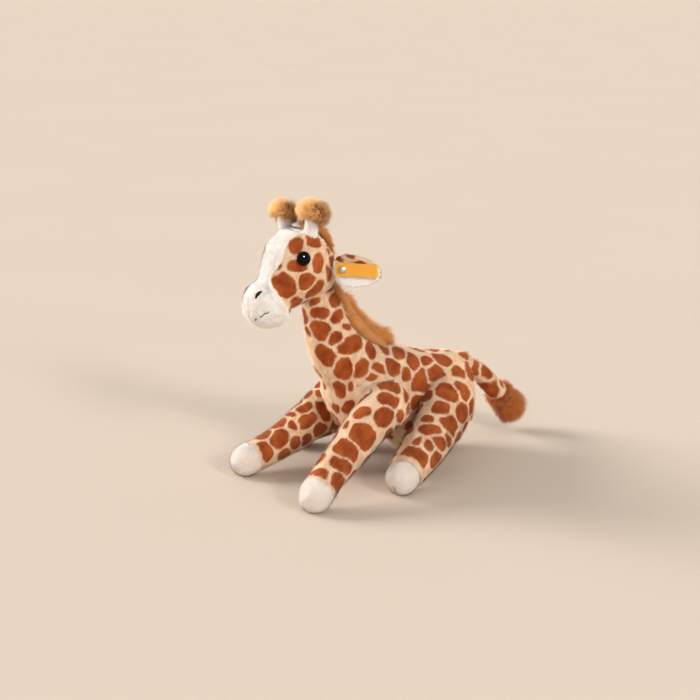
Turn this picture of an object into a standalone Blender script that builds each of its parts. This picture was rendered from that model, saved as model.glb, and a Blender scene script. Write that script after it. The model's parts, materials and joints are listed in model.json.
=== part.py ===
"""A plush giraffe lying on its belly, its head raised and its legs stretched forward.

The giraffe faces -Y, its left side is +X and +Z is up. The origin is on the flat of
the belly, on the surface that it lies on. All lengths are in metres.
"""
import math

import bmesh
import bpy
import numpy as np
from mathutils import Matrix, Vector

# Cloth and clearances
WALL = 0.0012
MERGE_DISTANCE = 0.00001
GAP = 0.0003
SEAM_GAP = 0.0004
FILLING_GAP = 0.0016
REST_FLAT = 0.0005
OVERRUN = 0.3
BORE_OVERRUN = 0.02

# Torso
TORSO_LENGTH = 0.140
TORSO_HEIGHT = 0.097
TORSO_SWELL = 0.059
TORSO_WIDTH = 0.0525
RUMP_Y = 0.058
RUMP_ROUND = 0.022
CHEST_ROUND = 0.019
TORSO_POWER_SHARE = 2.25
BELLY_TAPER_SHARE = 0.22
# Columns: place from rump to chest, top and bottom of the height, width of the swell
TORSO_SHARES = (
    (0.00, 0.800, 0.170, 0.84),
    (0.14, 0.825, 0.020, 0.95),
    (0.28, 0.850, 0.000, 1.00),
    (0.47, 0.930, 0.000, 1.00),
    (0.56, 0.975, 0.200, 1.00),
    (0.70, 0.990, 0.260, 1.00),
    (0.82, 0.990, 0.310, 0.98),
    (0.92, 0.945, 0.400, 0.93),
    (1.00, 0.880, 0.540, 0.84),
)

# Neck, a leaning form whose ball top carries the head
NECK_BASE_SET = 0.035
NECK_BASE_HEIGHT = 0.072
NECK_LENGTH = 0.0775
NECK_LEAN = math.radians(34)
NECK_TOP_RADIUS = 0.0145
NECK_FOOT_DEPTH = 0.027
NECK_FOOT_WIDTH = 0.0235
NECK_FOOT_ROUND = 0.010
NECK_BOW = 0.0070
# Columns: place from foot to ball, depth and width between the foot's and the ball's
NECK_SHARES = (
    (0.00, 1.00, 1.00),
    (0.25, 0.90, 0.95),
    (0.50, 0.64, 0.72),
    (0.75, 0.34, 0.36),
    (0.90, 0.12, 0.12),
    (1.00, 0.00, 0.00),
)

# Head, on an axis that dips toward the muzzle
HEAD_RISE = 0.0355
HEAD_LEAN = math.radians(33)
HEAD_DIP = math.radians(42)
HEAD_BACK = 0.0245
HEAD_FRONT = 0.040
HEAD_HEIGHT = 0.049
HEAD_WIDTH = 0.047
HEAD_BACK_ROUND = 0.0175
HEAD_FRONT_ROUND = 0.008
# Columns: place from the back to the front, half height, rise of its middle, half width
HEAD_SHARES = (
    (0.00, 0.876, -0.083, 0.82),
    (0.16, 1.095, -0.078, 0.92),
    (0.35, 1.212, -0.093, 0.99),
    (0.50, 1.156, -0.050, 0.97),
    (0.66, 0.936, -0.040, 0.78),
    (0.83, 0.710, -0.046, 0.58),
    (1.00, 0.500, -0.020, 0.50),
)
MUZZLE_REACH = 0.0385
MUZZLE_DROP = 0.0012
MUZZLE_LENGTH = 0.0365
MUZZLE_WIDTH = 0.0355
MUZZLE_HEIGHT = 0.0370
BLAZE_WIDTH = 0.019
BLAZE_STAND = 0.0016
BLAZE_BACK_SHARE = 0.22

# Eyes: a domed button on a shank, held by a washer inside
EYE_DIAMETER = 0.0103
EYE_HEIGHT = 0.0036
EYE_RIM = 0.0008
EYE_PLACE_SHARE = 0.437
EYE_ANGLE = math.radians(31.5)
EYE_SHANK_DIAMETER = 0.0030
EYE_SHANK_LENGTH = 0.0076
EYE_WASHER_SET = 0.0018
EYE_WASHER_DIAMETER = 0.0085
EYE_WASHER_THICKNESS = 0.0014

# Horns: a white stalk under a long-haired ball
LEFT_STALK_SET = 0.0130
RIGHT_STALK_SET = 0.0145
STALK_PLACE_SHARE = 0.165
STALK_DIAMETER = 0.0108
STALK_LENGTH = 0.0125
STALK_TILT = math.radians(15)
TIP_WIDTH = 0.0258
RIGHT_TIP_SHARE = 0.86
TIP_HEIGHT = 0.0205
TIP_CREASE_SHARE = 0.16
LEFT_TIP_LIFT = 0.0022

# Ears: a cupped leaf, its white lining and the tag riveted to the left one
EAR_LENGTH = 0.038
EAR_HEIGHT = 0.0240
EAR_THICKNESS = 0.0036
EAR_CUP = 0.0045
EAR_PLACE_SHARE = 0.265
EAR_ANGLE = math.radians(-10)
EAR_SWEEP = math.radians(26)
EAR_DROOP = math.radians(4)
EAR_SEAT_SINK = 0.0004
EAR_BROAD_SHARE = 0.46
EAR_TAPER_SHARE = 0.35
LINING_THICKNESS = 0.0011
LINING_MARGIN_SHARE = 0.90
TAG_LENGTH = 0.0315
TAG_WIDTH = 0.0090
TAG_THICKNESS = 0.0005
TAG_FOLD = 0.0011
TAG_RIVET_INSET = 0.0050
TAG_LIFT = 0.0010
TAG_DIP = math.radians(-6)
RIVET_DIAMETER = 0.0056
RIVET_DOME = 0.0016
RIVET_STEM_DIAMETER = 0.0018
RIVET_BACK_DIAMETER = 0.0062
RIVET_BACK_THICKNESS = 0.0012
RIVET_PLACE_SHARE = 0.28

# Mane, a cut-pile strip from the crown down the neck
MANE_WIDTH = 0.0115
MANE_HEIGHT = 0.0100
MANE_ROOT = 0.0040
MANE_END_ROUND = 0.006
NECK_MANE_TOP_SHARE = 0.92
NECK_MANE_MIDDLE_SHARE = 0.50
NECK_MANE_FOOT_SHARE = 0.575
CROWN_START = math.radians(134)
CROWN_END = math.radians(222)
CROWN_HEIGHT = 0.0080

# Legs: each tapers from its root on the torso's flat side to a white hoof
SHOULDER_SET = 0.022
SHOULDER_HEIGHT = 0.059
RIGHT_SHOULDER_SET = 0.032
RIGHT_SHOULDER_HEIGHT = 0.0445
HIP_SET = 0.0555
HIP_HEIGHT = 0.050
FRONT_ROOT_RADIUS = 0.0180
FRONT_SHANK_RADIUS = 0.0126
REAR_ROOT_RADIUS = 0.0190
REAR_SHANK_RADIUS = 0.0145
HOOF_RADIUS = 0.0127
HOOF_LENGTH = 0.0195
LEG_ROOT_STAND_SHARE = 0.62
FRONT_SEAT_RADIUS = 0.0355
REAR_SEAT_RADIUS = 0.090
SEAT_SIDES = 40
# Columns: place from root to toe, radius between the shank's and the root's
LEG_SHARES = (
    (0.00, 1.00),
    (0.20, 1.00),
    (0.40, 0.66),
    (0.60, 0.34),
    (0.78, 0.00),
    (1.00, 0.00),
)
FRONT_LEFT_SPREAD = 0.0136
FRONT_LEFT_REACH = 0.0769
FRONT_LEFT_BEND = 0.0015
FRONT_RIGHT_SPREAD = 0.0056
FRONT_RIGHT_REACH = 0.0765
FRONT_RIGHT_BEND = -0.0060
REAR_LEFT_SPREAD = 0.0244
REAR_LEFT_REACH = 0.0685
REAR_LEFT_BEND = -0.0025
REAR_RIGHT_SPREAD = 0.0414
REAR_RIGHT_REACH = 0.0575
REAR_RIGHT_BEND = -0.0025

# Tail, a thin form from a ball in the rump down to its tuft
TAIL_RADIUS = 0.0066
TAIL_TIP_RADIUS = 0.0058
TAIL_JOINT_SHARE = 0.032
TAIL_STAND = 0.0052
TAIL_SET = math.radians(34)
TAIL_LENGTH = 0.0540
TAIL_DROP = math.radians(43)
# Columns: place from the ball to the tip, radius as a share of the ball's
TAIL_SHARES = ((0.0, 1.0), (0.12, 1.0), (0.22, 0.83), (0.40, 0.90), (0.70, 0.95), (1.0, 0.88))
TAIL_ARCH = 0.0015
TAIL_ARCH_SHARE = 6.75
TUFT_LENGTH = 0.040
TUFT_RADIUS = 0.0155
TUFT_DIP = math.radians(48)
TUFT_SINK = 0.006
# Columns: place from the root of the tuft to its end, radius
TUFT_SHARES = ((0.0, 0.62), (0.25, 0.88), (0.55, 1.00), (0.80, 0.86), (1.0, 0.55))

# Facets round and along the forms
TORSO_SIDES = 22
TORSO_RINGS = 16
HEAD_SIDES = 20
HEAD_RINGS = 14
NECK_SIDES = 18
NECK_RINGS = 10
LEG_SIDES = 14
LEG_RINGS = 12
SMALL_SIDES = 14
SMALL_RINGS = 10
INNER_SIDES = 10
INNER_RINGS = 10
PATH_STEPS = 60

# Worked out from the sizes above
SEAT_X = TORSO_WIDTH / 2
CHEST_Y = RUMP_Y - TORSO_LENGTH
HIP_Y = RUMP_Y - HIP_SET
X_AXIS = Vector((1, 0, 0))
Y_AXIS = Vector((0, 1, 0))
Z_AXIS = Vector((0, 0, 1))
BACK_HINT = Vector((0, 1, 1))
NECK_BASE = Vector((0, CHEST_Y + NECK_BASE_SET, NECK_BASE_HEIGHT))
NECK_AXIS = Vector((0, -math.sin(NECK_LEAN), math.cos(NECK_LEAN)))
NECK_BACK = Vector((0, math.cos(NECK_LEAN), math.sin(NECK_LEAN)))
HEAD_JOINT = NECK_BASE + NECK_AXIS * NECK_LENGTH
HEAD_CENTRE = HEAD_JOINT + Vector((0, -math.sin(HEAD_LEAN), math.cos(HEAD_LEAN))) * HEAD_RISE
HEAD_AXIS = Vector((0, -math.cos(HEAD_DIP), -math.sin(HEAD_DIP)))
HEAD_UP = Vector((0, -math.sin(HEAD_DIP), math.cos(HEAD_DIP)))
HEAD_LENGTH = HEAD_BACK + HEAD_FRONT
MUZZLE_CENTRE = HEAD_CENTRE + HEAD_AXIS * MUZZLE_REACH - HEAD_UP * MUZZLE_DROP


def clear_scene():
    """Remove every object that the file opened with."""
    for item in list(bpy.data.objects):
        bpy.data.objects.remove(item, do_unlink=True)


def new_collection(name):
    """A collection linked to the scene."""
    group = bpy.data.collections.new(name)
    bpy.context.scene.collection.children.link(group)
    return group


def plush(name, colour, roughness, metallic=0.0):
    """A Principled material with one colour, roughness and metallic value."""
    material = bpy.data.materials.new(name)
    material.use_nodes = True
    shader = material.node_tree.nodes["Principled BSDF"]
    shader.inputs["Base Color"].default_value = (*colour, 1.0)
    shader.inputs["Roughness"].default_value = roughness
    shader.inputs["Metallic"].default_value = metallic
    return material


def table_value(table, column, share):
    """A smooth reading of one column of a table at a share from 0 to 1."""
    places = np.array([row[0] for row in table])
    values = np.array([row[column] for row in table])
    slopes = np.gradient(values, places)
    k = int(np.clip(np.searchsorted(places, share) - 1, 0, len(places) - 2))
    span = places[k + 1] - places[k]
    t = (share - places[k]) / span
    start = values[k] * (1 + 2 * t) * (1 - t) ** 2 + span * slopes[k] * t * (1 - t) ** 2
    end = values[k + 1] * t * t * (3 - 2 * t) + span * slopes[k + 1] * t * t * (t - 1)
    return float(start + end)


def dome(distance, reach):
    """How full a round end is at a distance from its pole, from 0 to 1."""
    if distance >= reach:
        return 1.0
    return math.sqrt(max(0.0, 1 - (1 - distance / reach) ** 2))


class Path:
    """A smooth path through the points of a function of a share from 0 to 1."""

    def __init__(self, point):
        self.points = [Vector(point(k / PATH_STEPS)) for k in range(PATH_STEPS + 1)]
        steps = [(b - a).length for a, b in zip(self.points, self.points[1:])]
        self.places = np.concatenate([[0.0], np.cumsum(steps)])
        self.length = float(self.places[-1])

    def at(self, distance):
        """The point and the direction at a distance, running straight past the ends."""
        k = int(np.clip(np.searchsorted(self.places, distance) - 1, 0, PATH_STEPS - 1))
        step = self.points[k + 1] - self.points[k]
        along = step.normalized()
        return self.points[k] + along * (distance - float(self.places[k])), along


def power_point(across, up, power):
    """A point of a unit circle moved onto a squarer oval."""
    x = math.copysign(abs(across) ** (2 / power), across)
    y = math.copysign(abs(up) ** (2 / power), up)
    return x, y


def finish(name, bm, material, group):
    """Turn a bmesh into a named object of a collection."""
    bm.normal_update()
    bmesh.ops.recalc_face_normals(bm, faces=bm.faces)
    mesh = bpy.data.meshes.new(name)
    bm.to_mesh(mesh)
    bm.free()
    item = bpy.data.objects.new(name, mesh)
    group.objects.link(item)
    if material is not None:
        mesh.materials.append(material)
    if group.name == "cutters":
        item.hide_render = True
        item.display_type = "WIRE"
    else:
        mesh.shade_smooth()
        mesh.set_sharp_from_angle(angle=math.radians(40))
    return item


def swept(place, sides, rings):
    """A sphere whose rings are moved: place gives a point for a share and a direction."""
    bm = bmesh.new()
    bmesh.ops.create_uvsphere(bm, u_segments=sides, v_segments=rings, radius=1)
    for vertex in bm.verts:
        share = (1 - vertex.co.z) / 2
        flat = Vector((vertex.co.x, vertex.co.y))
        if flat.length > 0:
            flat.normalize()
        vertex.co = place(min(max(share, 0.0), 1.0), flat.x, flat.y)
    return bm


def torso_mesh(grow, sides=TORSO_SIDES, rings=TORSO_RINGS):
    """The torso: level rings from rump to chest, pressed flat where the legs are sewn on."""
    def place(share, across, up):
        along = -grow + share * (TORSO_LENGTH + grow + grow)
        read = min(max(along / TORSO_LENGTH, 0.0), 1.0)
        top = table_value(TORSO_SHARES, 1, read) * TORSO_HEIGHT
        bottom = table_value(TORSO_SHARES, 2, read) * TORSO_HEIGHT
        width = table_value(TORSO_SHARES, 3, read) * TORSO_SWELL / 2
        round_end = dome(along + grow, RUMP_ROUND + grow)
        round_end *= dome(TORSO_LENGTH + grow - along, CHEST_ROUND + grow)
        x, z = power_point(across, up, TORSO_POWER_SHARE)
        x *= (width + grow) * round_end
        z *= ((top - bottom) / 2 + grow) * round_end
        if up < 0:
            x *= 1 - BELLY_TAPER_SHARE * up * up
        x = min(max(x, -SEAT_X - grow), SEAT_X + grow)
        return Vector((x, RUMP_Y - along, (top + bottom) / 2 + z - REST_FLAT))

    return swept(place, sides, rings)


def torso_top(share):
    """The height of the torso's back at a share of its length."""
    return table_value(TORSO_SHARES, 1, share) * TORSO_HEIGHT - REST_FLAT


def neck_half(share, foot):
    """The neck's half depth or half width at a share of its length."""
    column = 1 if foot == NECK_FOOT_DEPTH else 2
    return NECK_TOP_RADIUS + (foot - NECK_TOP_RADIUS) * table_value(NECK_SHARES, column, share)


def neck_middle(share):
    """A point of the neck's middle line, which bows forward."""
    bow = NECK_BOW * math.sin(math.pi * share)
    return NECK_BASE + NECK_AXIS * NECK_LENGTH * share - NECK_BACK * bow


def neck_mesh(grow, sides=NECK_SIDES, rings=NECK_RINGS):
    """The neck: a leaning form from inside the torso to a ball under the head."""
    length = NECK_LENGTH + NECK_TOP_RADIUS

    def place(share, across, up):
        along = share * (length + 2 * grow) - grow
        read = min(max(along / NECK_LENGTH, 0.0), 1.0)
        depth = neck_half(read, NECK_FOOT_DEPTH)
        width = neck_half(read, NECK_FOOT_WIDTH)
        round_end = dome(along + grow, NECK_FOOT_ROUND + grow)
        round_end *= dome(length + grow - along, NECK_TOP_RADIUS + grow)
        middle = neck_middle(read) + NECK_AXIS * (along - read * NECK_LENGTH)
        side = X_AXIS * across * (width + grow)
        return middle + (side + NECK_BACK * up * (depth + grow)) * round_end

    return swept(place, sides, rings)


def head_place(along, across, up, grow=0.0):
    """A point of the head's surface, at a distance from its back pole."""
    read = min(max(along / HEAD_LENGTH, 0.0), 1.0)
    height = table_value(HEAD_SHARES, 1, read) * HEAD_HEIGHT / 2
    rise = table_value(HEAD_SHARES, 2, read) * HEAD_HEIGHT
    width = table_value(HEAD_SHARES, 3, read) * HEAD_WIDTH / 2
    round_end = dome(along + grow, HEAD_BACK_ROUND + grow)
    round_end *= dome(HEAD_LENGTH + grow - along, HEAD_FRONT_ROUND + grow)
    middle = HEAD_CENTRE + HEAD_AXIS * (along - HEAD_BACK) + HEAD_UP * rise
    side = X_AXIS * across * (width + grow) * round_end
    return middle + side + HEAD_UP * up * (height + grow) * round_end


def head_mesh(grow, sides=HEAD_SIDES, rings=HEAD_RINGS):
    """The head: a skull that tapers to the muzzle."""
    def place(share, across, up):
        along = -grow + share * (HEAD_LENGTH + grow + grow)
        return head_place(along, across, up, grow)

    return swept(place, sides, rings)


def ball_mesh(centre, radii, axes, sides=SMALL_SIDES, rings=SMALL_RINGS):
    """A ball with its own radius along each of three axes."""
    bm = bmesh.new()
    bmesh.ops.create_uvsphere(bm, u_segments=sides, v_segments=rings, radius=1)
    for vertex in bm.verts:
        parts = [axis * radius * part for axis, radius, part in zip(axes, radii, vertex.co)]
        vertex.co = centre + parts[0] + parts[1] + parts[2]
    return bm


def tube_mesh(path, half_width, half_height, ends, grow, up, sides, rings):
    """A form along a path with its own half width and half height and round ends."""
    def place(share, across, rise):
        along = share * (path.length + 2 * grow) - grow
        middle, direction = path.at(along)
        read = min(max(along / path.length, 0.0), 1.0)
        side = direction.cross(up).normalized()
        top = side.cross(direction)
        round_end = dome(along + grow, ends[0] + grow)
        round_end *= dome(path.length + grow - along, ends[1] + grow)
        wide = side * across * (half_width(read) + grow)
        return middle + (wide + top * rise * (half_height(read) + grow)) * round_end

    return swept(place, sides, rings)


def slab_mesh(centre, sizes, axes):
    """A box with its own axes, for cuts."""
    bm = bmesh.new()
    bmesh.ops.create_cube(bm, size=1)
    for vertex in bm.verts:
        parts = [axis * size * part for axis, size, part in zip(axes, sizes, vertex.co)]
        vertex.co = centre + parts[0] + parts[1] + parts[2]
    return bm


def rod_mesh(start, end, radius, sides=SMALL_SIDES):
    """A plain cylinder between two points."""
    bm = bmesh.new()
    run = end - start
    turn = run.to_track_quat("Z", "Y").to_matrix().to_4x4()
    place = Matrix.Translation((start + end) / 2) @ turn
    bmesh.ops.create_cone(bm, cap_ends=True, segments=sides, radius1=radius, radius2=radius,
                          depth=run.length, matrix=place)
    return bm


def frame_of(normal, hint):
    """A rotation whose Z axis is a normal and whose X axis is near a hint."""
    z = normal.normalized()
    y = z.cross(hint).normalized()
    return Matrix((y.cross(z), y, z)).transposed()


class Maker:
    """Makes the named pieces and keeps their cutters in a collection of their own."""

    def __init__(self):
        self.parts = new_collection("plush_giraffe")
        self.cutters = new_collection("cutters")

    def piece(self, name, bm, material):
        """A named solid of the giraffe."""
        return finish(name, bm, material, self.parts)

    def cut(self, item, bm, operation="DIFFERENCE"):
        """Cut a piece by a mesh, or keep only what lies inside it."""
        label = f"{item.name}_cutter_{len(item.modifiers)}"
        tool = finish(label, bm, None, self.cutters)
        change = item.modifiers.new(label, "BOOLEAN")
        change.operation = operation
        change.solver = "EXACT"
        change.object = tool
        return tool

    def turned(self, name, profile, place, turn, material, steps=SMALL_SIDES):
        """A turned piece: a profile of radius and height, from top to bottom, spun."""
        bm = bmesh.new()
        points = [bm.verts.new((radius, 0, height)) for radius, height in profile]
        for a, b in zip(points, points[1:]):
            bm.edges.new((a, b))
        mesh = bpy.data.meshes.new(name)
        bm.to_mesh(mesh)
        bm.free()
        item = bpy.data.objects.new(name, mesh)
        self.parts.objects.link(item)
        mesh.materials.append(material)
        spin = item.modifiers.new("turn", "SCREW")
        spin.steps = steps
        spin.render_steps = steps
        spin.use_merge_vertices = True
        spin.merge_threshold = MERGE_DISTANCE
        spin.use_smooth_shade = True
        item.location = place
        item.rotation_euler = turn.to_euler()
        return item


def floor_slab():
    """All that lies below the surface the giraffe rests on."""
    return slab_mesh(Vector((0, 0, -OVERRUN / 2)), (OVERRUN * 2, OVERRUN * 2, OVERRUN),
                     (X_AXIS, Y_AXIS, Z_AXIS))


class Leg:
    """One leg: its path from the root on the torso to the toe."""

    def __init__(self, name, side, root_y, root_height, radii, toe, bend):
        self.name = name
        self.side = side
        self.root_radius, self.shank_radius, self.seat_radius = radii
        root_x = SEAT_X + self.root_radius * LEG_ROOT_STAND_SHARE
        self.root = Vector((side * root_x, root_y, root_height))
        rest = HOOF_RADIUS - REST_FLAT
        spread, reach = toe
        self.toe = Vector((side * (root_x + spread), root_y - reach, rest))
        middle = (self.root + self.toe) / 2
        chord = (self.toe - self.root).normalized()
        lift = chord.cross(X_AXIS).normalized()
        if lift.z < 0:
            lift = -lift
        middle += lift * bend * 2
        root, toe_point = self.root, self.toe

        def point(share):
            first = root.lerp(middle, share)
            return first.lerp(middle.lerp(toe_point, share), share)

        core = Path(point)
        start = core.at(-self.root_radius)[0]
        end = core.at(core.length + HOOF_RADIUS)[0]
        whole = core.length + self.root_radius + HOOF_RADIUS

        def full(share):
            if share == 0:
                return start
            if share == 1:
                return end
            return core.at(share * whole - self.root_radius)[0]

        self.path = Path(full)
        self.seam = self.path.length - HOOF_LENGTH

    def radius(self, share):
        """The leg's radius, which ends in the hoof's."""
        spread = self.root_radius - self.shank_radius
        limb = self.shank_radius + spread * table_value(LEG_SHARES, 1, share)
        seam_share = self.seam / self.path.length
        if share <= seam_share:
            return limb
        blend = min((share - seam_share) / (1 - seam_share) * 2, 1.0)
        return limb + (HOOF_RADIUS - limb) * blend * (2 - blend)

    def mesh(self, grow, sides=LEG_SIDES, rings=LEG_RINGS):
        """The whole leg, hoof and all."""
        ends = (self.root_radius, HOOF_RADIUS)
        return tube_mesh(self.path, self.radius, self.radius, ends, grow, Z_AXIS, sides, rings)

    def seat_disc(self, clearance):
        """The round space inward of the sewn face that the leg swings clear of."""
        inner = Vector((0, self.root.y, self.root.z))
        face = inner + X_AXIS * self.side * (SEAT_X + SEAM_GAP + clearance)
        return rod_mesh(inner, face, self.seat_radius + clearance, SEAT_SIDES)

    def seam_slab(self, toward_toe, gap):
        """All on one side of the seam between leg and hoof."""
        middle, along = self.path.at(self.seam)
        along = along if toward_toe else -along
        side = along.cross(Z_AXIS).normalized()
        centre = middle + along * (OVERRUN / 2 - gap)
        return slab_mesh(centre, (OVERRUN, OVERRUN, OVERRUN), (side, along, side.cross(along)))


def make_legs():
    """The four legs with their own poses."""
    front = (FRONT_ROOT_RADIUS, FRONT_SHANK_RADIUS, FRONT_SEAT_RADIUS)
    rear = (REAR_ROOT_RADIUS, REAR_SHANK_RADIUS, REAR_SEAT_RADIUS)
    return (
        Leg("front_leg_left", 1, CHEST_Y + SHOULDER_SET, SHOULDER_HEIGHT, front,
            (FRONT_LEFT_SPREAD, FRONT_LEFT_REACH), FRONT_LEFT_BEND),
        Leg("front_leg_right", -1, CHEST_Y + RIGHT_SHOULDER_SET, RIGHT_SHOULDER_HEIGHT, front,
            (FRONT_RIGHT_SPREAD, FRONT_RIGHT_REACH), FRONT_RIGHT_BEND),
        Leg("rear_leg_left", 1, HIP_Y, HIP_HEIGHT, rear,
            (REAR_LEFT_SPREAD, REAR_LEFT_REACH), REAR_LEFT_BEND),
        Leg("rear_leg_right", -1, HIP_Y, HIP_HEIGHT, rear,
            (REAR_RIGHT_SPREAD, REAR_RIGHT_REACH), REAR_RIGHT_BEND),
    )


def tail_root():
    """The centre of the ball that seats the tail in the rump, and the tail's direction."""
    share = TAIL_JOINT_SHARE
    fullness = dome(share * TORSO_LENGTH, RUMP_ROUND)
    top = table_value(TORSO_SHARES, 1, share) * TORSO_HEIGHT
    bottom = table_value(TORSO_SHARES, 2, share) * TORSO_HEIGHT
    height = (top + bottom) / 2 + (top - bottom) / 2 * fullness - REST_FLAT
    out = Vector((0, math.cos(TAIL_SET), math.sin(TAIL_SET)))
    along = Vector((0, math.cos(TAIL_DROP), -math.sin(TAIL_DROP)))
    return Vector((0, RUMP_Y - share * TORSO_LENGTH, height)) + out * TAIL_STAND, along


def tail_path():
    """The tail's path from its ball to the tuft, arched a little."""
    root, along = tail_root()
    rise = along.cross(-X_AXIS)
    start = root - along * TAIL_RADIUS

    def point(share):
        reach = (TAIL_LENGTH + TAIL_RADIUS) * share
        past = max(0.0, (reach - TAIL_RADIUS) / TAIL_LENGTH)
        arch = TAIL_ARCH * TAIL_ARCH_SHARE * past * past * (1 - past)
        return start + along * reach + rise * arch

    return Path(point)


def make_torso(maker, plush_spots, filling):
    """The torso's cover, open to the neck and at the tail, and its stuffing."""
    root = tail_root()[0]
    axes = (X_AXIS, Y_AXIS, Z_AXIS)
    cover = maker.piece("body_cover", torso_mesh(0), plush_spots)
    maker.cut(cover, torso_mesh(-WALL, INNER_SIDES + 4, INNER_RINGS + 2))
    maker.cut(cover, neck_mesh(-WALL, INNER_SIDES, INNER_RINGS))
    maker.cut(cover, ball_mesh(root, (TAIL_RADIUS + SEAM_GAP,) * 3, axes))
    maker.cut(cover, floor_slab())
    stuffing_grow = -WALL - FILLING_GAP
    stuffing = maker.piece("body_stuffing", torso_mesh(stuffing_grow, INNER_SIDES + 4,
                                                       INNER_RINGS + 2), filling)
    maker.cut(stuffing, ball_mesh(root, (TAIL_RADIUS + SEAM_GAP + GAP,) * 3, axes))
    maker.cut(stuffing, floor_slab())


def make_neck(maker, plush_spots, filling):
    """The neck's cover, sewn to the torso, and its stuffing."""
    cover = maker.piece("neck_cover", neck_mesh(0), plush_spots)
    maker.cut(cover, torso_mesh(GAP))
    maker.cut(cover, neck_mesh(-WALL, INNER_SIDES, INNER_RINGS))
    stuffing = maker.piece("neck_stuffing", neck_mesh(-WALL - FILLING_GAP, INNER_SIDES,
                                                      INNER_RINGS), filling)
    reach = -WALL - FILLING_GAP + GAP
    maker.cut(stuffing, torso_mesh(reach, INNER_SIDES + 4, INNER_RINGS + 2))


def socket_mesh(clearance):
    """The round hollow under the head that sits on the neck's ball."""
    radius = NECK_TOP_RADIUS + clearance
    return ball_mesh(HEAD_JOINT, (radius,) * 3, (X_AXIS, Y_AXIS, Z_AXIS), NECK_SIDES,
                     NECK_RINGS)


def blaze_slab(width, back, front):
    """The strip of the head's top that the blaze covers."""
    length = front - back
    centre = HEAD_CENTRE + HEAD_AXIS * (back + length / 2 - HEAD_BACK)
    centre += HEAD_UP * HEAD_HEIGHT / 2
    return slab_mesh(centre, (width, length, HEAD_HEIGHT), (X_AXIS, HEAD_AXIS, HEAD_UP))


def muzzle_mesh(grow):
    """The ball of the muzzle."""
    sizes = (MUZZLE_WIDTH, MUZZLE_LENGTH, MUZZLE_HEIGHT)
    radii = tuple(size / 2 + grow for size in sizes)
    return ball_mesh(MUZZLE_CENTRE, radii, (X_AXIS, HEAD_AXIS, HEAD_UP), HEAD_SIDES, HEAD_RINGS)


def eye_frame(side):
    """Where an eye sits on the head and which way it looks."""
    along = EYE_PLACE_SHARE * HEAD_LENGTH

    def surface(reach, angle):
        return head_place(reach, math.cos(angle) * side, math.sin(angle))

    step = EYE_DIAMETER / 2
    turn = math.atan2(step, HEAD_WIDTH / 2)
    lengthwise = surface(along + step, EYE_ANGLE) - surface(along - step, EYE_ANGLE)
    around = surface(along, EYE_ANGLE + turn) - surface(along, EYE_ANGLE - turn)
    look = lengthwise.cross(around).normalized()
    if look.x * side < 0:
        look = -look
    return surface(along, EYE_ANGLE), look


def make_head(maker, plush_spots, plush_white, filling):
    """The head's cover with its blaze and muzzle, and its stuffing."""
    inner = (INNER_SIDES + 4, INNER_RINGS + 2)
    back = BLAZE_BACK_SHARE * HEAD_LENGTH
    cover = maker.piece("head_cover", head_mesh(0), plush_spots)
    maker.cut(cover, head_mesh(-WALL, *inner))
    maker.cut(cover, socket_mesh(SEAM_GAP + GAP))
    maker.cut(cover, blaze_slab(BLAZE_WIDTH, back, HEAD_LENGTH + OVERRUN / 10))
    blaze = maker.piece("face_blaze", head_mesh(BLAZE_STAND), plush_white)
    maker.cut(blaze, head_mesh(-WALL, *inner))
    maker.cut(blaze, blaze_slab(BLAZE_WIDTH - GAP * 2, back + GAP, HEAD_LENGTH + OVERRUN / 10),
              "INTERSECT")
    stuffing = maker.piece("head_stuffing", head_mesh(-WALL - FILLING_GAP, *inner), filling)
    maker.cut(stuffing, socket_mesh(SEAM_GAP + GAP * 2))
    muzzle = maker.piece("muzzle", muzzle_mesh(0), plush_white)
    maker.cut(muzzle, head_mesh(GAP))
    maker.cut(blaze, muzzle_mesh(GAP))
    for side in (1, -1):
        base, top, lean = stalk_line(side)
        maker.cut(blaze, rod_mesh(base - lean * STALK_DIAMETER, top, STALK_DIAMETER / 2 + GAP))
        place, look = eye_frame(side)
        inside = place - look * BORE_OVERRUN
        shank = EYE_SHANK_DIAMETER / 2 + GAP
        maker.cut(cover, rod_mesh(place + look * EYE_HEIGHT, inside, shank, INNER_SIDES))
        reach = place - look * (WALL * 2 + EYE_SHANK_LENGTH)
        pocket = EYE_WASHER_DIAMETER / 2 + GAP
        maker.cut(stuffing, rod_mesh(place + look * EYE_HEIGHT, reach, pocket, INNER_SIDES))
    return cover


def make_eyes(maker, black, washer):
    """The button eyes and the washers that lock their shanks inside the head."""
    radius = EYE_DIAMETER / 2
    shank = EYE_SHANK_DIAMETER / 2
    steps = 6
    for side, word in ((1, "left"), (-1, "right")):
        place, look = eye_frame(side)
        turn = frame_of(look, HEAD_AXIS)
        profile = []
        for k in range(steps + 1):
            angle = math.pi / 2 * (1 - k / steps)
            profile.append((radius * math.cos(angle),
                            EYE_RIM + (EYE_HEIGHT - EYE_RIM) * math.sin(angle)))
        profile += [(radius, 0), (shank, 0), (shank, -EYE_SHANK_LENGTH), (0, -EYE_SHANK_LENGTH)]
        seat = place + look * (GAP + EYE_RIM)
        maker.turned(f"eye_{word}", profile, seat, turn, black, SMALL_SIDES)
        ring = EYE_WASHER_DIAMETER / 2
        bore = shank + GAP
        top = -EYE_RIM - GAP - WALL - EYE_WASHER_SET
        low = top - EYE_WASHER_THICKNESS
        washer_profile = [(bore, top), (ring, top), (ring, low), (bore, low), (bore, top)]
        maker.turned(f"eye_washer_{word}", washer_profile, seat, turn, washer, SMALL_SIDES)


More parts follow.
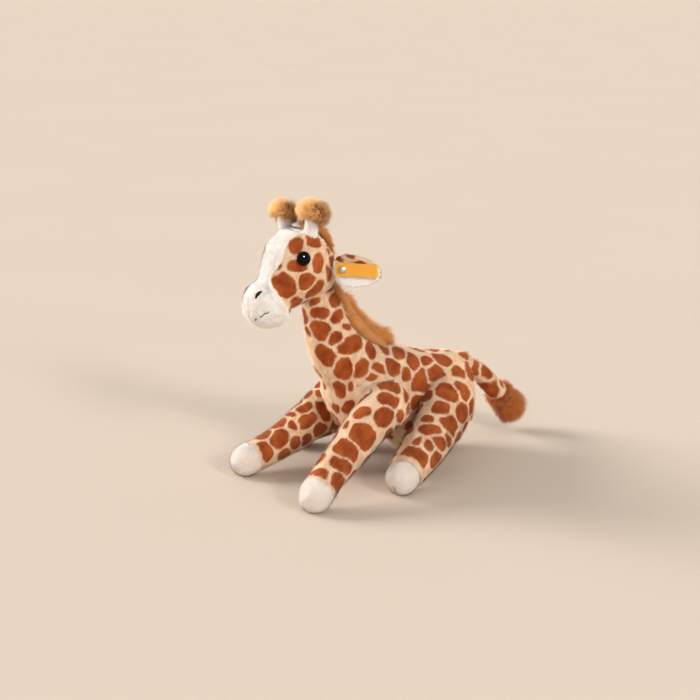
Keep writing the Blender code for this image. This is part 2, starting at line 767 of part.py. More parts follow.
def stalk_line(side):
    """The base and the top of a horn's stalk."""
    along = STALK_PLACE_SHARE * HEAD_LENGTH
    read = STALK_PLACE_SHARE
    half = table_value(HEAD_SHARES, 3, read) * HEAD_WIDTH / 2 * dome(along, HEAD_BACK_ROUND)
    across = (LEFT_STALK_SET if side > 0 else RIGHT_STALK_SET) / half
    base = head_place(along, across * side, math.sqrt(1 - across ** 2))
    lean = Vector((math.sin(STALK_TILT) * side, 0, math.cos(STALK_TILT)))
    lift = LEFT_TIP_LIFT if side > 0 else 0
    return base, base + lean * (STALK_LENGTH + lift), lean


def make_horns(maker, white, brown):
    """The stalks on the crown and the long-haired balls that cap them."""
    for side, word in ((1, "left"), (-1, "right")):
        base, top, lean = stalk_line(side)
        radius = STALK_DIAMETER / 2
        foot = base - lean * STALK_DIAMETER
        stalk = maker.piece(f"ossicone_stalk_{word}", rod_mesh(foot, top, radius), white)
        maker.cut(stalk, head_mesh(GAP))
        width = TIP_WIDTH / 2 * (1 if side > 0 else RIGHT_TIP_SHARE)
        height = TIP_HEIGHT / 2
        across = lean.cross(Y_AXIS).normalized()
        axes = (across, lean.cross(across), lean)
        bm = ball_mesh(top + lean * height * TIP_CREASE_SHARE, (width, width, height), axes,
                       SMALL_SIDES, SMALL_RINGS)
        tip = maker.piece(f"ossicone_tip_{word}", bm, brown)
        maker.cut(tip, rod_mesh(foot, top + lean * GAP, radius + GAP))


def ear_frame(side):
    """Where an ear is sewn on, and its directions: out, up and back."""
    across = math.cos(EAR_ANGLE) * side
    place = head_place(EAR_PLACE_SHARE * HEAD_LENGTH, across, math.sin(EAR_ANGLE))
    out = Vector((math.cos(EAR_SWEEP) * side, math.sin(EAR_SWEEP), -math.sin(EAR_DROOP)))
    out.normalize()
    up = (Z_AXIS - out * out.z).normalized()
    back = out.cross(up) * side
    if back.y < 0:
        back = -back
    return place - X_AXIS * side * EAR_SEAT_SINK, out, up, back


def leaf_mesh(side, front, rear, margin):
    """A cupped leaf between a front and a rear depth, thin at its rim."""
    place, out, up, back = ear_frame(side)

    def point(vertex):
        reach = Vector((vertex.co.x, vertex.co.y)).length
        along = (vertex.co.x * margin + 1) / 2
        bend = 4 * along * (1 - along)
        taper = 1 + (EAR_BROAD_SHARE - along) * bend * EAR_TAPER_SHARE
        rise = vertex.co.y * margin * taper * EAR_HEIGHT / 2
        fullness = math.sqrt(max(0.0, 1 - reach ** 2))
        thick = rear * fullness if vertex.co.z > 0 else 0.0
        cup = -EAR_CUP * (rise / (EAR_HEIGHT / 2)) ** 2
        depth = front + thick + cup
        return place + out * along * EAR_LENGTH + up * rise + back * depth

    bm = bmesh.new()
    bmesh.ops.create_uvsphere(bm, u_segments=INNER_SIDES + 4, v_segments=INNER_RINGS, radius=1)
    places = {vertex: point(vertex) for vertex in bm.verts}
    for vertex, spot in places.items():
        vertex.co = spot
    return bm


def rivet_place(side):
    """The rivet's line through the ear and its lining."""
    place, out, up, back = ear_frame(side)
    return place + out * EAR_LENGTH * RIVET_PLACE_SHARE, out, up, back


def tag_mesh():
    """A ribbon folded in two, its fold at the far end."""
    centre, out, up, back = rivet_place(1)
    dip = out * math.cos(TAG_DIP) - up * math.sin(TAG_DIP)
    rise = up * math.cos(TAG_DIP) + out * math.sin(TAG_DIP)
    front_depth = LINING_THICKNESS + GAP + TAG_LIFT + TAG_FOLD + TAG_THICKNESS * 2
    outline = []
    half = TAG_FOLD / 2
    steps = 6
    middle = front_depth - half - TAG_THICKNESS
    run = TAG_LENGTH - TAG_RIVET_INSET - half - TAG_THICKNESS
    for radius, turns in ((half + TAG_THICKNESS, range(steps + 1)),
                          (half, range(steps, -1, -1))):
        ends = [(-TAG_RIVET_INSET, middle + radius), (-TAG_RIVET_INSET, middle - radius)]
        arc = []
        for k in turns:
            angle = math.pi / 2 - math.pi * k / steps
            arc.append((run + radius * math.cos(angle), middle + radius * math.sin(angle)))
        if turns[0] == 0:
            outline += [ends[0]] + arc + [ends[1]]
        else:
            outline += [ends[1]] + arc + [ends[0]]
    bm = bmesh.new()
    low = []
    for along, depth in outline:
        low.append(bm.verts.new(centre + dip * along - back * depth - rise * TAG_WIDTH / 2))
    face = bm.faces.new(low)
    grown = bmesh.ops.extrude_face_region(bm, geom=[face])
    moved = [item for item in grown["geom"] if isinstance(item, bmesh.types.BMVert)]
    bmesh.ops.translate(bm, verts=moved, vec=rise * TAG_WIDTH)
    return bm, front_depth


def make_ears(maker, plush_spots, white, yellow, metal):
    """The ears with their linings, and the tag riveted to the left one."""
    ears = {}
    for side, word in ((1, "left"), (-1, "right")):
        ear = maker.piece(f"ear_{word}", leaf_mesh(side, 0, EAR_THICKNESS, 1), plush_spots)
        bm = leaf_mesh(side, -GAP, -LINING_THICKNESS, LINING_MARGIN_SHARE)
        lining = maker.piece(f"ear_lining_{word}", bm, white)
        ears[word] = (ear, lining)
    centre, out, up, back = rivet_place(1)
    bm, front_depth = tag_mesh()
    tag = maker.piece("ear_tag", bm, yellow)
    stem = RIVET_STEM_DIAMETER / 2
    for item in (*ears["left"], tag):
        maker.cut(item, rod_mesh(centre - back * BORE_OVERRUN, centre + back * BORE_OVERRUN,
                                 stem + GAP, INNER_SIDES))
    turn = frame_of(-back, out)
    head = RIVET_DIAMETER / 2
    steps = 5
    rear_depth = EAR_THICKNESS + GAP
    profile = []
    for k in range(steps + 1):
        angle = math.pi / 2 * (1 - k / steps)
        profile.append((head * math.cos(angle), front_depth + GAP + RIVET_DOME * math.sin(angle)))
    end = -rear_depth - RIVET_BACK_THICKNESS / 2
    profile += [(stem, front_depth + GAP), (stem, end), (0, end)]
    maker.turned("tag_rivet", profile, centre, turn, metal)
    ring = RIVET_BACK_DIAMETER / 2
    low = -rear_depth - RIVET_BACK_THICKNESS
    bore = stem + GAP
    cap = [(bore, -rear_depth), (ring, -rear_depth), (ring, low), (bore, low),
           (bore, -rear_depth)]
    maker.turned("tag_rivet_back", cap, centre, turn, metal)


def arc_path(start, pull, end):
    """A path that bends once between two points."""
    return Path(lambda share: start.lerp(pull, share).lerp(pull.lerp(end, share), share))


def mane_tube(path, height):
    """A strip of pile along a path, higher than it is wide."""
    half_width = MANE_WIDTH / 2
    half_height = (height + MANE_ROOT) / 2
    ends = (MANE_END_ROUND, MANE_END_ROUND)
    return tube_mesh(path, lambda share: half_width, lambda share: half_height, ends, 0,
                     BACK_HINT, SMALL_SIDES, SMALL_RINGS)


def make_mane(maker, brown):
    """The mane on the neck and on the crown, each seated on its cover."""
    offset = (MANE_HEIGHT - MANE_ROOT) / 2
    top_share = NECK_MANE_TOP_SHARE
    middle_share = NECK_MANE_MIDDLE_SHARE
    top = neck_middle(top_share)
    top += NECK_BACK * (neck_half(top_share, NECK_FOOT_DEPTH) + offset)
    middle = neck_middle(middle_share)
    middle += NECK_BACK * (neck_half(middle_share, NECK_FOOT_DEPTH) + offset)
    foot_share = NECK_MANE_FOOT_SHARE
    foot = Vector((0, RUMP_Y - foot_share * TORSO_LENGTH, torso_top(foot_share) + offset))
    pull = middle * 2 - (top + foot) / 2
    strip = mane_tube(arc_path(top, pull, foot), MANE_HEIGHT)
    neck_mane = maker.piece("mane_neck", strip, brown)
    maker.cut(neck_mane, neck_mesh(GAP))
    maker.cut(neck_mane, torso_mesh(GAP))

    def crown_point(angle):
        lift = (CROWN_HEIGHT - MANE_ROOT) / 2
        along = HEAD_AXIS * (HEAD_BACK + lift) * math.cos(angle)
        return HEAD_CENTRE + along + HEAD_UP * (HEAD_HEIGHT / 2 + lift) * math.sin(angle)

    path = Path(lambda share: crown_point(CROWN_START + (CROWN_END - CROWN_START) * share))
    crown = maker.piece("mane_crown", mane_tube(path, CROWN_HEIGHT), brown)
    maker.cut(crown, head_mesh(GAP))


def make_limbs(maker, plush_spots, white, filling):
    """The legs' covers, their white hooves and their stuffing."""
    for leg in make_legs():
        inner = (-WALL, INNER_SIDES, INNER_RINGS)
        cover = maker.piece(leg.name + "_cover", leg.mesh(0), plush_spots)
        cavity = maker.cut(cover, leg.mesh(*inner))
        maker.cut(cavity, leg.seat_disc(WALL))
        maker.cut(cover, leg.seat_disc(0))
        maker.cut(cover, leg.seam_slab(True, GAP / 2))
        hoof = maker.piece(leg.name.replace("leg", "hoof"), leg.mesh(0), white)
        maker.cut(hoof, leg.mesh(*inner))
        maker.cut(hoof, leg.seam_slab(False, GAP / 2))
        maker.cut(hoof, floor_slab())
        stuffing = maker.piece(leg.name + "_stuffing",
                               leg.mesh(-WALL - FILLING_GAP, INNER_SIDES, INNER_RINGS), filling)
        maker.cut(stuffing, leg.seat_disc(WALL + GAP))


def make_tail(maker, plush_spots, brown):
    """The tail on its ball in the rump, and the long-haired tuft at its end."""
    path = tail_path()

    def radius(share):
        return TAIL_RADIUS * table_value(TAIL_SHARES, 1, share)

    ends = (TAIL_RADIUS, TAIL_TIP_RADIUS)
    tail = maker.piece("tail", tube_mesh(path, radius, radius, ends, 0, Z_AXIS, SMALL_SIDES,
                                         SMALL_RINGS), plush_spots)
    tip = path.at(path.length - TUFT_SINK - TAIL_TIP_RADIUS)[0]
    dip = Vector((0, math.cos(TUFT_DIP), -math.sin(TUFT_DIP)))
    tuft_path = Path(lambda share: tip + dip * TUFT_LENGTH * share)

    def fullness(share):
        return TUFT_RADIUS * table_value(TUFT_SHARES, 1, share)

    ends = (TUFT_RADIUS * TUFT_SHARES[0][1], TUFT_RADIUS)
    tuft = maker.piece("tail_tuft", tube_mesh(tuft_path, fullness, fullness, ends, 0, Z_AXIS,
                                              SMALL_SIDES, SMALL_RINGS), brown)
    maker.cut(tuft, tube_mesh(path, radius, radius, (TAIL_RADIUS, TAIL_TIP_RADIUS), GAP, Z_AXIS,
                              SMALL_SIDES, SMALL_RINGS))
    return tail, tuft


def hang_on_joints(maker):
    """Give each moving piece a parent empty on its joint's axis."""
    joints = {"head_joint": HEAD_JOINT, "tail_joint": tail_root()[0]}
    for side, word in ((1, "left"), (-1, "right")):
        joints[f"ear_{word}_joint"] = ear_frame(side)[0]
    for leg in make_legs():
        joints[leg.name + "_joint"] = leg.root
    for name, place in joints.items():
        empty = bpy.data.objects.new(name, None)
        empty.location = place
        maker.parts.objects.link(empty)
    bpy.context.view_layer.update()
    for item in list(maker.parts.objects):
        name = item.name
        if item.type != "MESH":
            continue
        if name.startswith(("front_", "rear_")):
            carrier = "_".join(name.replace("hoof", "leg").split("_")[:3]) + "_joint"
        elif name.startswith(("ear_", "tag_")):
            carrier = "ear_right_joint" if name.endswith("right") else "ear_left_joint"
        elif name.startswith("tail"):
            carrier = "tail_joint"
        elif name.startswith(("head", "face", "muzzle", "eye", "ossicone", "mane_crown")):
            carrier = "head_joint"
        else:
            continue
        empty = bpy.data.objects[carrier]
        item.parent = empty
        item.matrix_parent_inverse = empty.matrix_world.inverted()


def main():
    """Build the giraffe."""
    clear_scene()
    maker = Maker()
    spots = plush("spotted_plush", (0.72, 0.47, 0.27), 0.92)
    white = plush("white_plush", (0.90, 0.87, 0.82), 0.92)
    brown = plush("brown_pile", (0.52, 0.25, 0.10), 0.9)
    filling = plush("fibre_filling", (0.93, 0.93, 0.91), 0.95)
    black = plush("eye_black", (0.008, 0.007, 0.007), 0.08)
    washer = plush("washer_plastic", (0.85, 0.85, 0.83), 0.45)
    yellow = plush("woven_ribbon", (0.95, 0.62, 0.03), 0.7)
    metal = plush("rivet_metal", (0.62, 0.58, 0.50), 0.3, 1.0)
    make_torso(maker, spots, filling)
    make_neck(maker, spots, filling)
    make_head(maker, spots, white, filling)
    make_eyes(maker, black, washer)
    make_horns(maker, white, brown)
    make_ears(maker, spots, white, yellow, metal)
    make_mane(maker, brown)
    make_limbs(maker, spots, white, filling)
    make_tail(maker, spots, brown)
    hang_on_joints(maker)


main()
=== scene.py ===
"""The looks of the plush giraffe: its spotted coat, white parts, long pile, eyes, ribbon and stitches."""
import json
import math
from dataclasses import dataclass

import bmesh
import bpy
import numpy as np
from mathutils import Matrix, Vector
from mathutils.bvhtree import BVHTree


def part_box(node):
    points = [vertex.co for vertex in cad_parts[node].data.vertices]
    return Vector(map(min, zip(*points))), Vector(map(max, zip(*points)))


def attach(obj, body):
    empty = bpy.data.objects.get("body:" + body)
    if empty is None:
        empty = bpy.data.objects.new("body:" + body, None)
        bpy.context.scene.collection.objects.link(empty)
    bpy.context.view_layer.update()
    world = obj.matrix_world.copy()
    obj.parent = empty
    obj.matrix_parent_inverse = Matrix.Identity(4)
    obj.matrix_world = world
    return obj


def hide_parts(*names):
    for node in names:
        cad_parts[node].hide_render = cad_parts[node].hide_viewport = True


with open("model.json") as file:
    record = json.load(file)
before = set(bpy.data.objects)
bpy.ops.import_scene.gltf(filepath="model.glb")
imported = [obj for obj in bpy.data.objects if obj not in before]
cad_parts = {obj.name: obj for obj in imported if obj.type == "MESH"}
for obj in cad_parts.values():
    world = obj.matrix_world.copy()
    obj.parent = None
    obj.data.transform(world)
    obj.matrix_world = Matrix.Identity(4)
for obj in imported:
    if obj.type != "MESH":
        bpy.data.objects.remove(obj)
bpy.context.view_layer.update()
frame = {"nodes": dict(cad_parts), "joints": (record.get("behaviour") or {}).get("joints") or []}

MM = 0.001
NEARLY_ZERO = 1e-12
SAME_CORNER = MM / 1000

# The camera, and the photograph that the pixel places below refer to
CAMERA_AZIMUTH = math.radians(50)
CAMERA_ELEVATION = math.radians(14)
CAMERA_DISTANCE = 1.2
CAMERA_TARGET = np.array((-0.074, 0.0, 0.070))
FRAME_WIDTH = 0.56
SENSOR = 36.0
PHOTO_PIXELS = 700
PIXEL = FRAME_WIDTH / PHOTO_PIXELS

# Colours of the toy and of the floor; the hooves' darker white and the long pile's root colours are
# painted shade
BROWN = (0.520, 0.120, 0.022)
BROWN_DEEP = (0.310, 0.054, 0.009)
CREAM = (0.900, 0.570, 0.340)
CREAM_PALE = (0.970, 0.740, 0.530)
WHITE = (0.940, 0.880, 0.820)
WHITE_PALE = (0.970, 0.940, 0.910)
# The hooves: a darker copy of the face's white, painted shade for the shade that they lie in
HOOF_SHADED_WHITE = (0.740, 0.640, 0.580)
HOOF_SHADED_PALE = (0.820, 0.740, 0.690)
# The long pile, tip colour then root colour: the darker root colours are painted shade between the strands
FLUFF_LIGHT = (0.990, 0.560, 0.240)
FLUFF_SHADED_ROOT = (0.990, 0.440, 0.120)
MANE_LIGHT = (0.900, 0.370, 0.090)
MANE_SHADED_ROOT = (0.420, 0.105, 0.019)
TUFT_LIGHT = (0.640, 0.190, 0.042)
TUFT_SHADED_ROOT = (0.340, 0.080, 0.015)
EYE_BLACK = (0.002, 0.002, 0.002)
THREAD_BLACK = (0.012, 0.008, 0.007)
RIBBON_YELLOW = (0.930, 0.430, 0.010)
RIBBON_DEEP = (0.780, 0.300, 0.006)
STEEL = (0.560, 0.530, 0.480)
WASHER = (0.750, 0.740, 0.700)
FLOOR = (0.570, 0.490, 0.410)

# The floor's radius in metres
FLOOR_RADIUS = 45.0

# Light: the sky on the toy and behind it, then the lamps by name, how far they stand to the camera,
# to the right and up, strength, spread in degrees and colour
SKY_LIGHT = (0.88, 0.85, 0.83)
BACKDROP = (0.90, 0.81, 0.72)
SKY_STRENGTH = 0.8
LAMPS = (
    ("key", -0.32, -0.88, 0.50, 3.75, 30, (1.0, 0.96, 0.91)),
    ("fill", 0.80, 0.50, 0.25, 1.5, 12, (1.0, 0.95, 0.87)),
    ("catch", 0.85, 0.42, 0.46, 16.0, 14, (1.0, 1.0, 1.0)),
)

# How high the coat stands over the cloth, and how much its strands and the white ones vary in tone and are
# painted darker towards the root as shade and paler at the tip as light
COAT_STANDS = 1.2 * MM
COAT_ROOT_SHADE_AND_TONE = 0.24
PLAIN_ROOT_SHADE_AND_TONE = 0.06
# How much forms grow so that they meet as one skin
FORM_GROWS = 0.5 * MM
NECK_GROWS = 0.8 * MM
STUFFING_GROWS = 2.2 * MM
LINING_GROWS = 0.3 * MM
# The cream cuffs between the last patches and the hooves
FRONT_CUFF = 1.8 * MM
REAR_CUFF = 3.2 * MM

# Strands: how far their roots sink, how high their ridge is, how much thinner they are at the tip
STRAND_SINKS = 0.4 * MM
RIDGE_SHARE = 0.2
THINNER_SHARE = 0.55
LOWEST_STRAND = 0.2 * MM
# How far strands wander from the nap, over long and over short waves
LONG_WAVE = 14 * MM
SHORT_WAVE = 5 * MM
LONG_WANDER = 0.18
SHORT_WANDER = 0.12
TWIST = 0.12
LEAST_RISE = 0.15
# How the light falls on strands: grain, then shares of skin and of ridge or of the strand's own direction
GRAIN = 0.13
COAT_LIGHT_SHARES = (0.4, 0.6)
LONG_LIGHT_SHARES = (0.9, 0.3)
# How tone varies: over patches of cloth, over tufts and from strand to strand
TONE_PATCH = 9 * MM
TONE_TUFT = 2.6 * MM
TONE_SHARES = (0.5, 0.45, 0.4)
CLOTH_PATCH = 8 * MM
# The cloth under the pile is read as near the strands' roots, so that it is painted darker, as shade under
# the pile
CLOTH_ROOT_SHADE = 0.25
CLOTH_TONE = 0.5
# How clumps wander, in shares of their size
CLUMP_WAVES = 3
CLUMP_WANDER = 0.5
# Each strand's field in the map: left edge and step, foot and rise, in shares of the field
FIELD_LEFT = 0.2
FIELD_STEP = 0.3
FIELD_FOOT = 0.15
FIELD_RISE = 0.7
# Which way the pile lies, and between which levels that turns
BACK_NAP = (0, 1.0, -0.45)
NECK_NAP = (0, 0.45, -0.9)
NECK_NAP_LOW = 75 * MM
NECK_NAP_HIGH = 100 * MM
NECK_NAP_SLOPE = 0.5
HEAD_NAP = (0, 0.8, 0.6)
FACE_NAP = (0, -0.75, -0.65)
CHIN_NAP = (0, 0.9, -0.45)
CHIN_NAP_TOP = 150 * MM
CHIN_NAP_FULL = 128 * MM
SIDE_NAP = (0, 0.85, -0.5)
MANE_NAP = (0, 0.75, -0.75)
CROWN_NAP = (0, 0.6, -0.9)
# How fine the skins are made
TORSO_VOXEL = 1.7 * MM
HEAD_VOXEL = 1.2 * MM
TUFT_VOXEL = 1.2 * MM
HORN_VOXEL = 1.0 * MM
TAIL_VOXEL = 0.9 * MM
MANE_VOXEL = 0.9 * MM
EAR_VOXEL = 0.8 * MM
# In how many rounds their facets are smoothed away, and how far each half round moves them
TORSO_ROUNDS = 30
HEAD_ROUNDS = 18
TAIL_ROUNDS = 12
SMALL_ROUNDS = 8
MANE_ROUNDS = 6
SHRINK_AND_SWELL = (0.5, -0.53)
# How many rings and sides the tubes have, and how finely routes and balls are divided
LEG_RINGS = 110
LEG_SIDES = 56
HOOF_RINGS = 40
HOOF_SIDES = 48
STALK_RINGS = 24
STALK_SIDES = 32
EYE_RINGS = 24
EYE_SIDES = 40
FLOOR_SIDES = 96
ROUTE_PLACES = 61
ROUTE_MARKS = 120
BALL_ROUNDS = 3
# The least and the largest half size of the patches that the photograph doesn't show
BODY_FILL = (5.5 * MM, 9 * MM)
HEAD_FILL = (5 * MM, 7.5 * MM)
LEG_FILL = (4.8 * MM, 7.5 * MM)
TAIL_FILL = (3.5 * MM, 5 * MM)
EAR_FILL = (4 * MM, 6 * MM)
# Where the body's pile is split in two pieces, and the front end of the mane's side
TORSO_SPLIT = -20 * MM
MANE_FRONT = -95 * MM
# Where along a strand its patch is read, and how ragged the patches' edges are
SPOT_READ_SHARE = 0.7
SPOT_RAGGED = 0.12 * MM

# The round top of the neck, inside the head
NECK_TOP_HALF = 15.0 * MM
NECK_SOCKET_HALF = 9.0 * MM
# The bed of each eye in the head's filling, and the dimple round it
EYE_BED_HALF = 6.0 * MM
EYE_DIMPLE = 1.1 * MM
EYE_DIMPLE_HALF = 6.0 * MM
# The neck's fullness under the chin
THROAT_SHIFT = np.array((0, 2.8 * MM, -17.2 * MM))
THROAT_HALF = 14.9 * MM

# The head's fullness before the horns
BROW = (309, 239)
BROW_STANDS = 4.6 * MM
BROW_HALF = 8.0 * MM

# The eyes' domes
EYE_SINKS = {"left": 0.5 * MM, "right": 2.0 * MM}
EYE_HALF = 5.0 * MM
EYE_STANDS = 4.1 * MM
EYE_OVERLAP = 0.4 * MM

# The horns' stalks: radius, and how far they reach below and above the middle of the solid
STALK_HALF = 4.9 * MM
STALK_SINK = 12.0 * MM
STALK_REACH = 9.0 * MM
STALK_DOME = 3.0 * MM
STALK_FOOT_SHARE = 1.12
THINNEST_STALK = 0.05 * MM
STALK_FACES = (0.25, -0.97, 0)
STALK_CLEAR = 1.5 * MM
STALK_CLEAR_TOP = 1.0 * MM
# Where the horn tips are cut back before the stalks: levels, reach to the sides, place of the line
CUT_LEVELS = (1.5 * MM, -2.0 * MM)
CUT_FAR = 3.0 * MM
CUT_NEAR = 0.5 * MM
CUT_BEHIND = 2.0 * MM
CURL_AXIS = (0.35, 0.2, 1.0)
CURL_HANGS = 4 * MM
# How far the pile's cores lie inside the solids
HORN_SUNK = 3.6 * MM
TUFT_SUNK = 5.0 * MM
MANE_SUNK = 3.4 * MM
CROWN_SUNK = 2.2 * MM

# The tail: how much it grows and moves, and how its root sinks into the rump
TAIL_GROWS = 2.0 * MM
TAIL_SHIFT = np.array((0, 0, -1.4 * MM))
TAIL_ROOT_SINKS = 5.0 * MM
TAIL_ROOT_REACH = 9.5 * MM
TAIL_BASE_SHIFT = np.array((0, -5.5 * MM, -1.5 * MM))
TAIL_BASE_HALF = 9.5 * MM
TAIL_SKIN_SINKS = 0.6 * MM
# The tuft's strands: where they fan out from, how much they hang, how long they are from root to end
TUFT_SOURCE_SHARE = 1.6
TUFT_HANGS_SHARE = 0.9
TUFT_LENGTH_SHARES = (0.45, 1.1)
TUFT_FULL_SHARES = (-0.9, 0.5)
# How high over its middle the ear's white inside ends
EAR_WHITE_TOP = 4.8 * MM
EAR_FACES = (0.25, -0.95, 0.1)
EAR_INNER = 0.15
EAR_SEEN = -0.2
EAR_WAVE = 9 * MM
EAR_EDGE_WANDER = 0.5 * MM
RIBBON_CLEAR = 0.9 * MM

# Legs: half thickness at the root and the shank, then the hoof's size
ROOT_HALF_FRONT = 18.0 * MM
ROOT_HALF_REAR = 20.6 * MM
SHANK_HALF_FRONT = 12.6 * MM
SHANK_HALF_REAR = 14.5 * MM
HOOF_HALF = 12.7 * MM
HOOF_REACH = 19.5 * MM
TOE_SINKS = 0.5 * MM
# Name, side, outward spread and forward reach from root to toe, bend of the middle
LEGS = (
    ("front_leg_left", 1, 13.6 * MM, 76.0 * MM, 2.0 * MM),
    ("front_leg_right", -1, 5.6 * MM, 76.5 * MM, -4.0 * MM),
    ("rear_leg_left", 1, 24.4 * MM, 68.5 * MM, -2.5 * MM),
    ("rear_leg_right", -1, 41.4 * MM, 57.5 * MM, -2.5 * MM),
)
# Columns: place from root to toe, radius between the shank's and the root's
FRONT_SHARES = ((0.0, 1.0), (0.2, 1.0), (0.4, 0.62), (0.6, 0.24), (0.78, 0.0), (1.0, 0.0))
REAR_SHARES = ((0.0, 1.0), (0.2, 1.0), (0.4, 0.76), (0.6, 0.42), (0.78, 0.0), (1.0, 0.0))
# How much smaller the body's own swelling is under a leg's root, and how far inward it lies
ROOT_FILL_LESS = 0.5 * MM
ROOT_FILL_INWARD = 6.0 * MM
# The gathers at the hoof's seam
CUFF_WIDTH = 2.2 * MM
CUFF_TUCK = 0.2 * MM
PLEATS = 19
PLEAT_REACH = 3.2 * MM
PLEAT_DEPTH = 0.45 * MM
# How the leg's skin ends inside the hoof, and the hoof's inside the leg
LEG_OVERLAP = 1.5 * MM
LEG_END_SHARE = 0.9
HOOF_OVERLAP = 3 * MM
HOOF_STANDS = 0.7 * MM
HOOF_TUCK_REACH = 3.5 * MM
HOOF_TUCK_SHARE = 0.86
# The leg's pile: where it parts, how it wanders, and where it is left out
NAP_STEP = 2 * MM
PARTING_SHARES = (0.9, 1.5)
LEG_WAVE = 12 * MM
LEG_WANDER = 0.2
LEG_INNER = 20 * MM
LEG_PILE_SHORT = 0.3 * MM
# The limbs' softness: size of the lumps, seed, height
LUMPS = ((30 * MM, 70, 0.5 * MM), (13 * MM, 80, 0.2 * MM))
THINNEST_LIMB = 0.02 * MM
LOWEST_SKIN = 0.6 * MM

# Spots seen in the photograph: place in its pixels, half length and half width in pixels, tilt in degrees
HEAD_SPOTS = (
    (296.4, 245.2, 9.4, 7.4, -62), (315.4, 240.6, 7.4, 6.6, 10), (318.2, 263.3, 10.6, 5.2, 94),
    (297.2, 265.9, 10.2, 6.2, 0), (279.6, 268.0, 4.6, 2.2, -60), (284.8, 284.8, 13.8, 10.4, 52),
    (307.4, 281.8, 8.6, 8.2, 100), (315.0, 290.0, 12.0, 5.0, -50), (294.2, 304.4, 9.0, 5.4, -52),
    (328.0, 251.2, 2.6, 2.0, 20), (333.0, 261.5, 6.0, 5.0, -30), (329.0, 272.5, 9.0, 2.6, 85),
)
BODY_SPOTS = (
    (314.5, 302.0, 6.4, 3.6, -25), (331.0, 288.0, 6.4, 3.4, -70), (319.5, 313.6, 10.4, 6.2, 0),
    (335.0, 299.4, 8.8, 5.4, 70), (337.4, 316.4, 8.0, 5.8, -45), (304.6, 315.4, 8.6, 3.8, 80),
    (319.6, 330.6, 11.8, 9.4, 28), (334.8, 338.4, 8.4, 6.8, -20), (346.8, 327.0, 4.6, 3.4, 10),
    (351.8, 345.0, 13.2, 8.6, -22), (308.8, 331.6, 5.2, 3.0, 60), (325.4, 356.4, 13.6, 7.4, 50),
    (343.4, 369.2, 11.8, 10.4, 80), (361.8, 371.0, 12.0, 8.0, 95), (378.6, 368.4, 8.0, 5.6, 15),
    (367.0, 379.0, 12.5, 5.0, -25), (371.0, 350.6, 9.2, 5.4, 65), (383.2, 349.8, 7.0, 4.4, 22),
    (398.7, 352.4, 8.6, 6.6, 35), (412.6, 361.0, 7.8, 6.6, 95), (427.4, 361.4, 6.6, 6.2, 60),
    (416.8, 350.0, 8.8, 2.8, 12), (393.2, 367.6, 10.4, 7.4, 42), (406.2, 374.4, 7.6, 5.0, 75),
    (420.4, 380.6, 13.0, 8.4, -58), (442.4, 359.4, 10.4, 5.6, 10), (439.6, 377.0, 8.8, 7.4, -25),
    (458.2, 373.6, 8.8, 6.6, 38), (461.4, 356.2, 6.4, 5.4, 35), (449.6, 351.2, 6.0, 2.2, 10),
    (470.0, 371.0, 8.4, 6.6, 52), (339.6, 389.6, 9.8, 6.4, 85), (351.2, 386.8, 5.4, 3.8, 85),
    (348.4, 407.4, 7.8, 5.8, -50), (336.0, 408.4, 5.6, 4.4, 45), (415.5, 401.0, 9.0, 5.0, -62),
    (410.0, 425.0, 7.0, 4.0, -40), (392.0, 427.0, 8.0, 5.0, -30), (324.0, 384.0, 6.0, 3.0, 75),
)
FRONT_LEFT_SPOTS = (
    (364.2, 394.0, 10.4, 8.0, -38), (388.4, 383.0, 11.4, 7.2, 45), (388.8, 398.6, 11.8, 8.0, 22),
    (361.4, 412.4, 10.0, 5.0, -20), (384.0, 417.0, 11.2, 9.6, -40), (400.4, 417.4, 7.0, 3.4, 88),
    (363.2, 436.2, 14.2, 12.4, 35), (386.2, 437.0, 10.4, 6.6, -45), (346.6, 449.6, 13.6, 9.8, 35),
    (320.0, 459.6, 8.0, 4.2, -55), (342.4, 464.8, 12.4, 7.8, 25), (316.4, 474.8, 10.6, 5.2, -10),
    (338.2, 483.6, 11.0, 6.8, -62), (345.6, 425.0, 4.6, 2.4, -55), (406.0, 393.0, 8.0, 3.4, 78),
    (408.5, 408.0, 6.0, 3.4, -75), (396.0, 428.0, 6.0, 3.6, -50),
)
FRONT_RIGHT_SPOTS = (
    (304.0, 408.6, 8.8, 4.8, -22), (290.4, 414.2, 5.6, 2.2, -8), (277.8, 424.0, 9.4, 4.8, -38),
    (263.8, 434.2, 8.2, 4.8, -35), (307.2, 420.6, 10.8, 7.2, -32), (293.0, 425.2, 5.6, 5.0, 20),
    (279.4, 438.0, 10.2, 9.2, -60), (320.2, 430.2, 8.2, 6.0, -62), (306.6, 440.0, 6.6, 4.6, -80),
    (295.4, 443.4, 7.2, 5.0, -85), (284.0, 454.4, 7.6, 4.0, -30), (264.4, 451.8, 11.0, 7.8, 52),
    (323.5, 411.0, 12.5, 5.8, 62), (318.4, 393.4, 5.0, 3.4, 62),
)
REAR_LEFT_SPOTS = (
    (447.6, 391.4, 13.2, 8.6, 32), (463.4, 390.4, 11.8, 6.4, 62), (440.6, 408.4, 9.2, 7.6, 20),
    (462.6, 412.6, 10.4, 7.0, 100), (427.0, 419.0, 6.4, 3.8, 10), (450.6, 425.0, 13.4, 7.0, 50),
    (430.2, 429.4, 12.2, 5.6, 8), (418.5, 441.0, 6.5, 3.2, -20), (428.2, 444.4, 7.6, 5.0, 48),
    (440.6, 443.2, 9.2, 6.2, 58), (449.2, 440.4, 7.6, 3.2, 78), (415.0, 455.6, 14.4, 8.8, 28),
    (436.0, 459.4, 9.0, 5.6, -48), (427.0, 396.0, 7.0, 5.0, -60), (471.5, 406.0, 10.0, 3.2, 92),
)
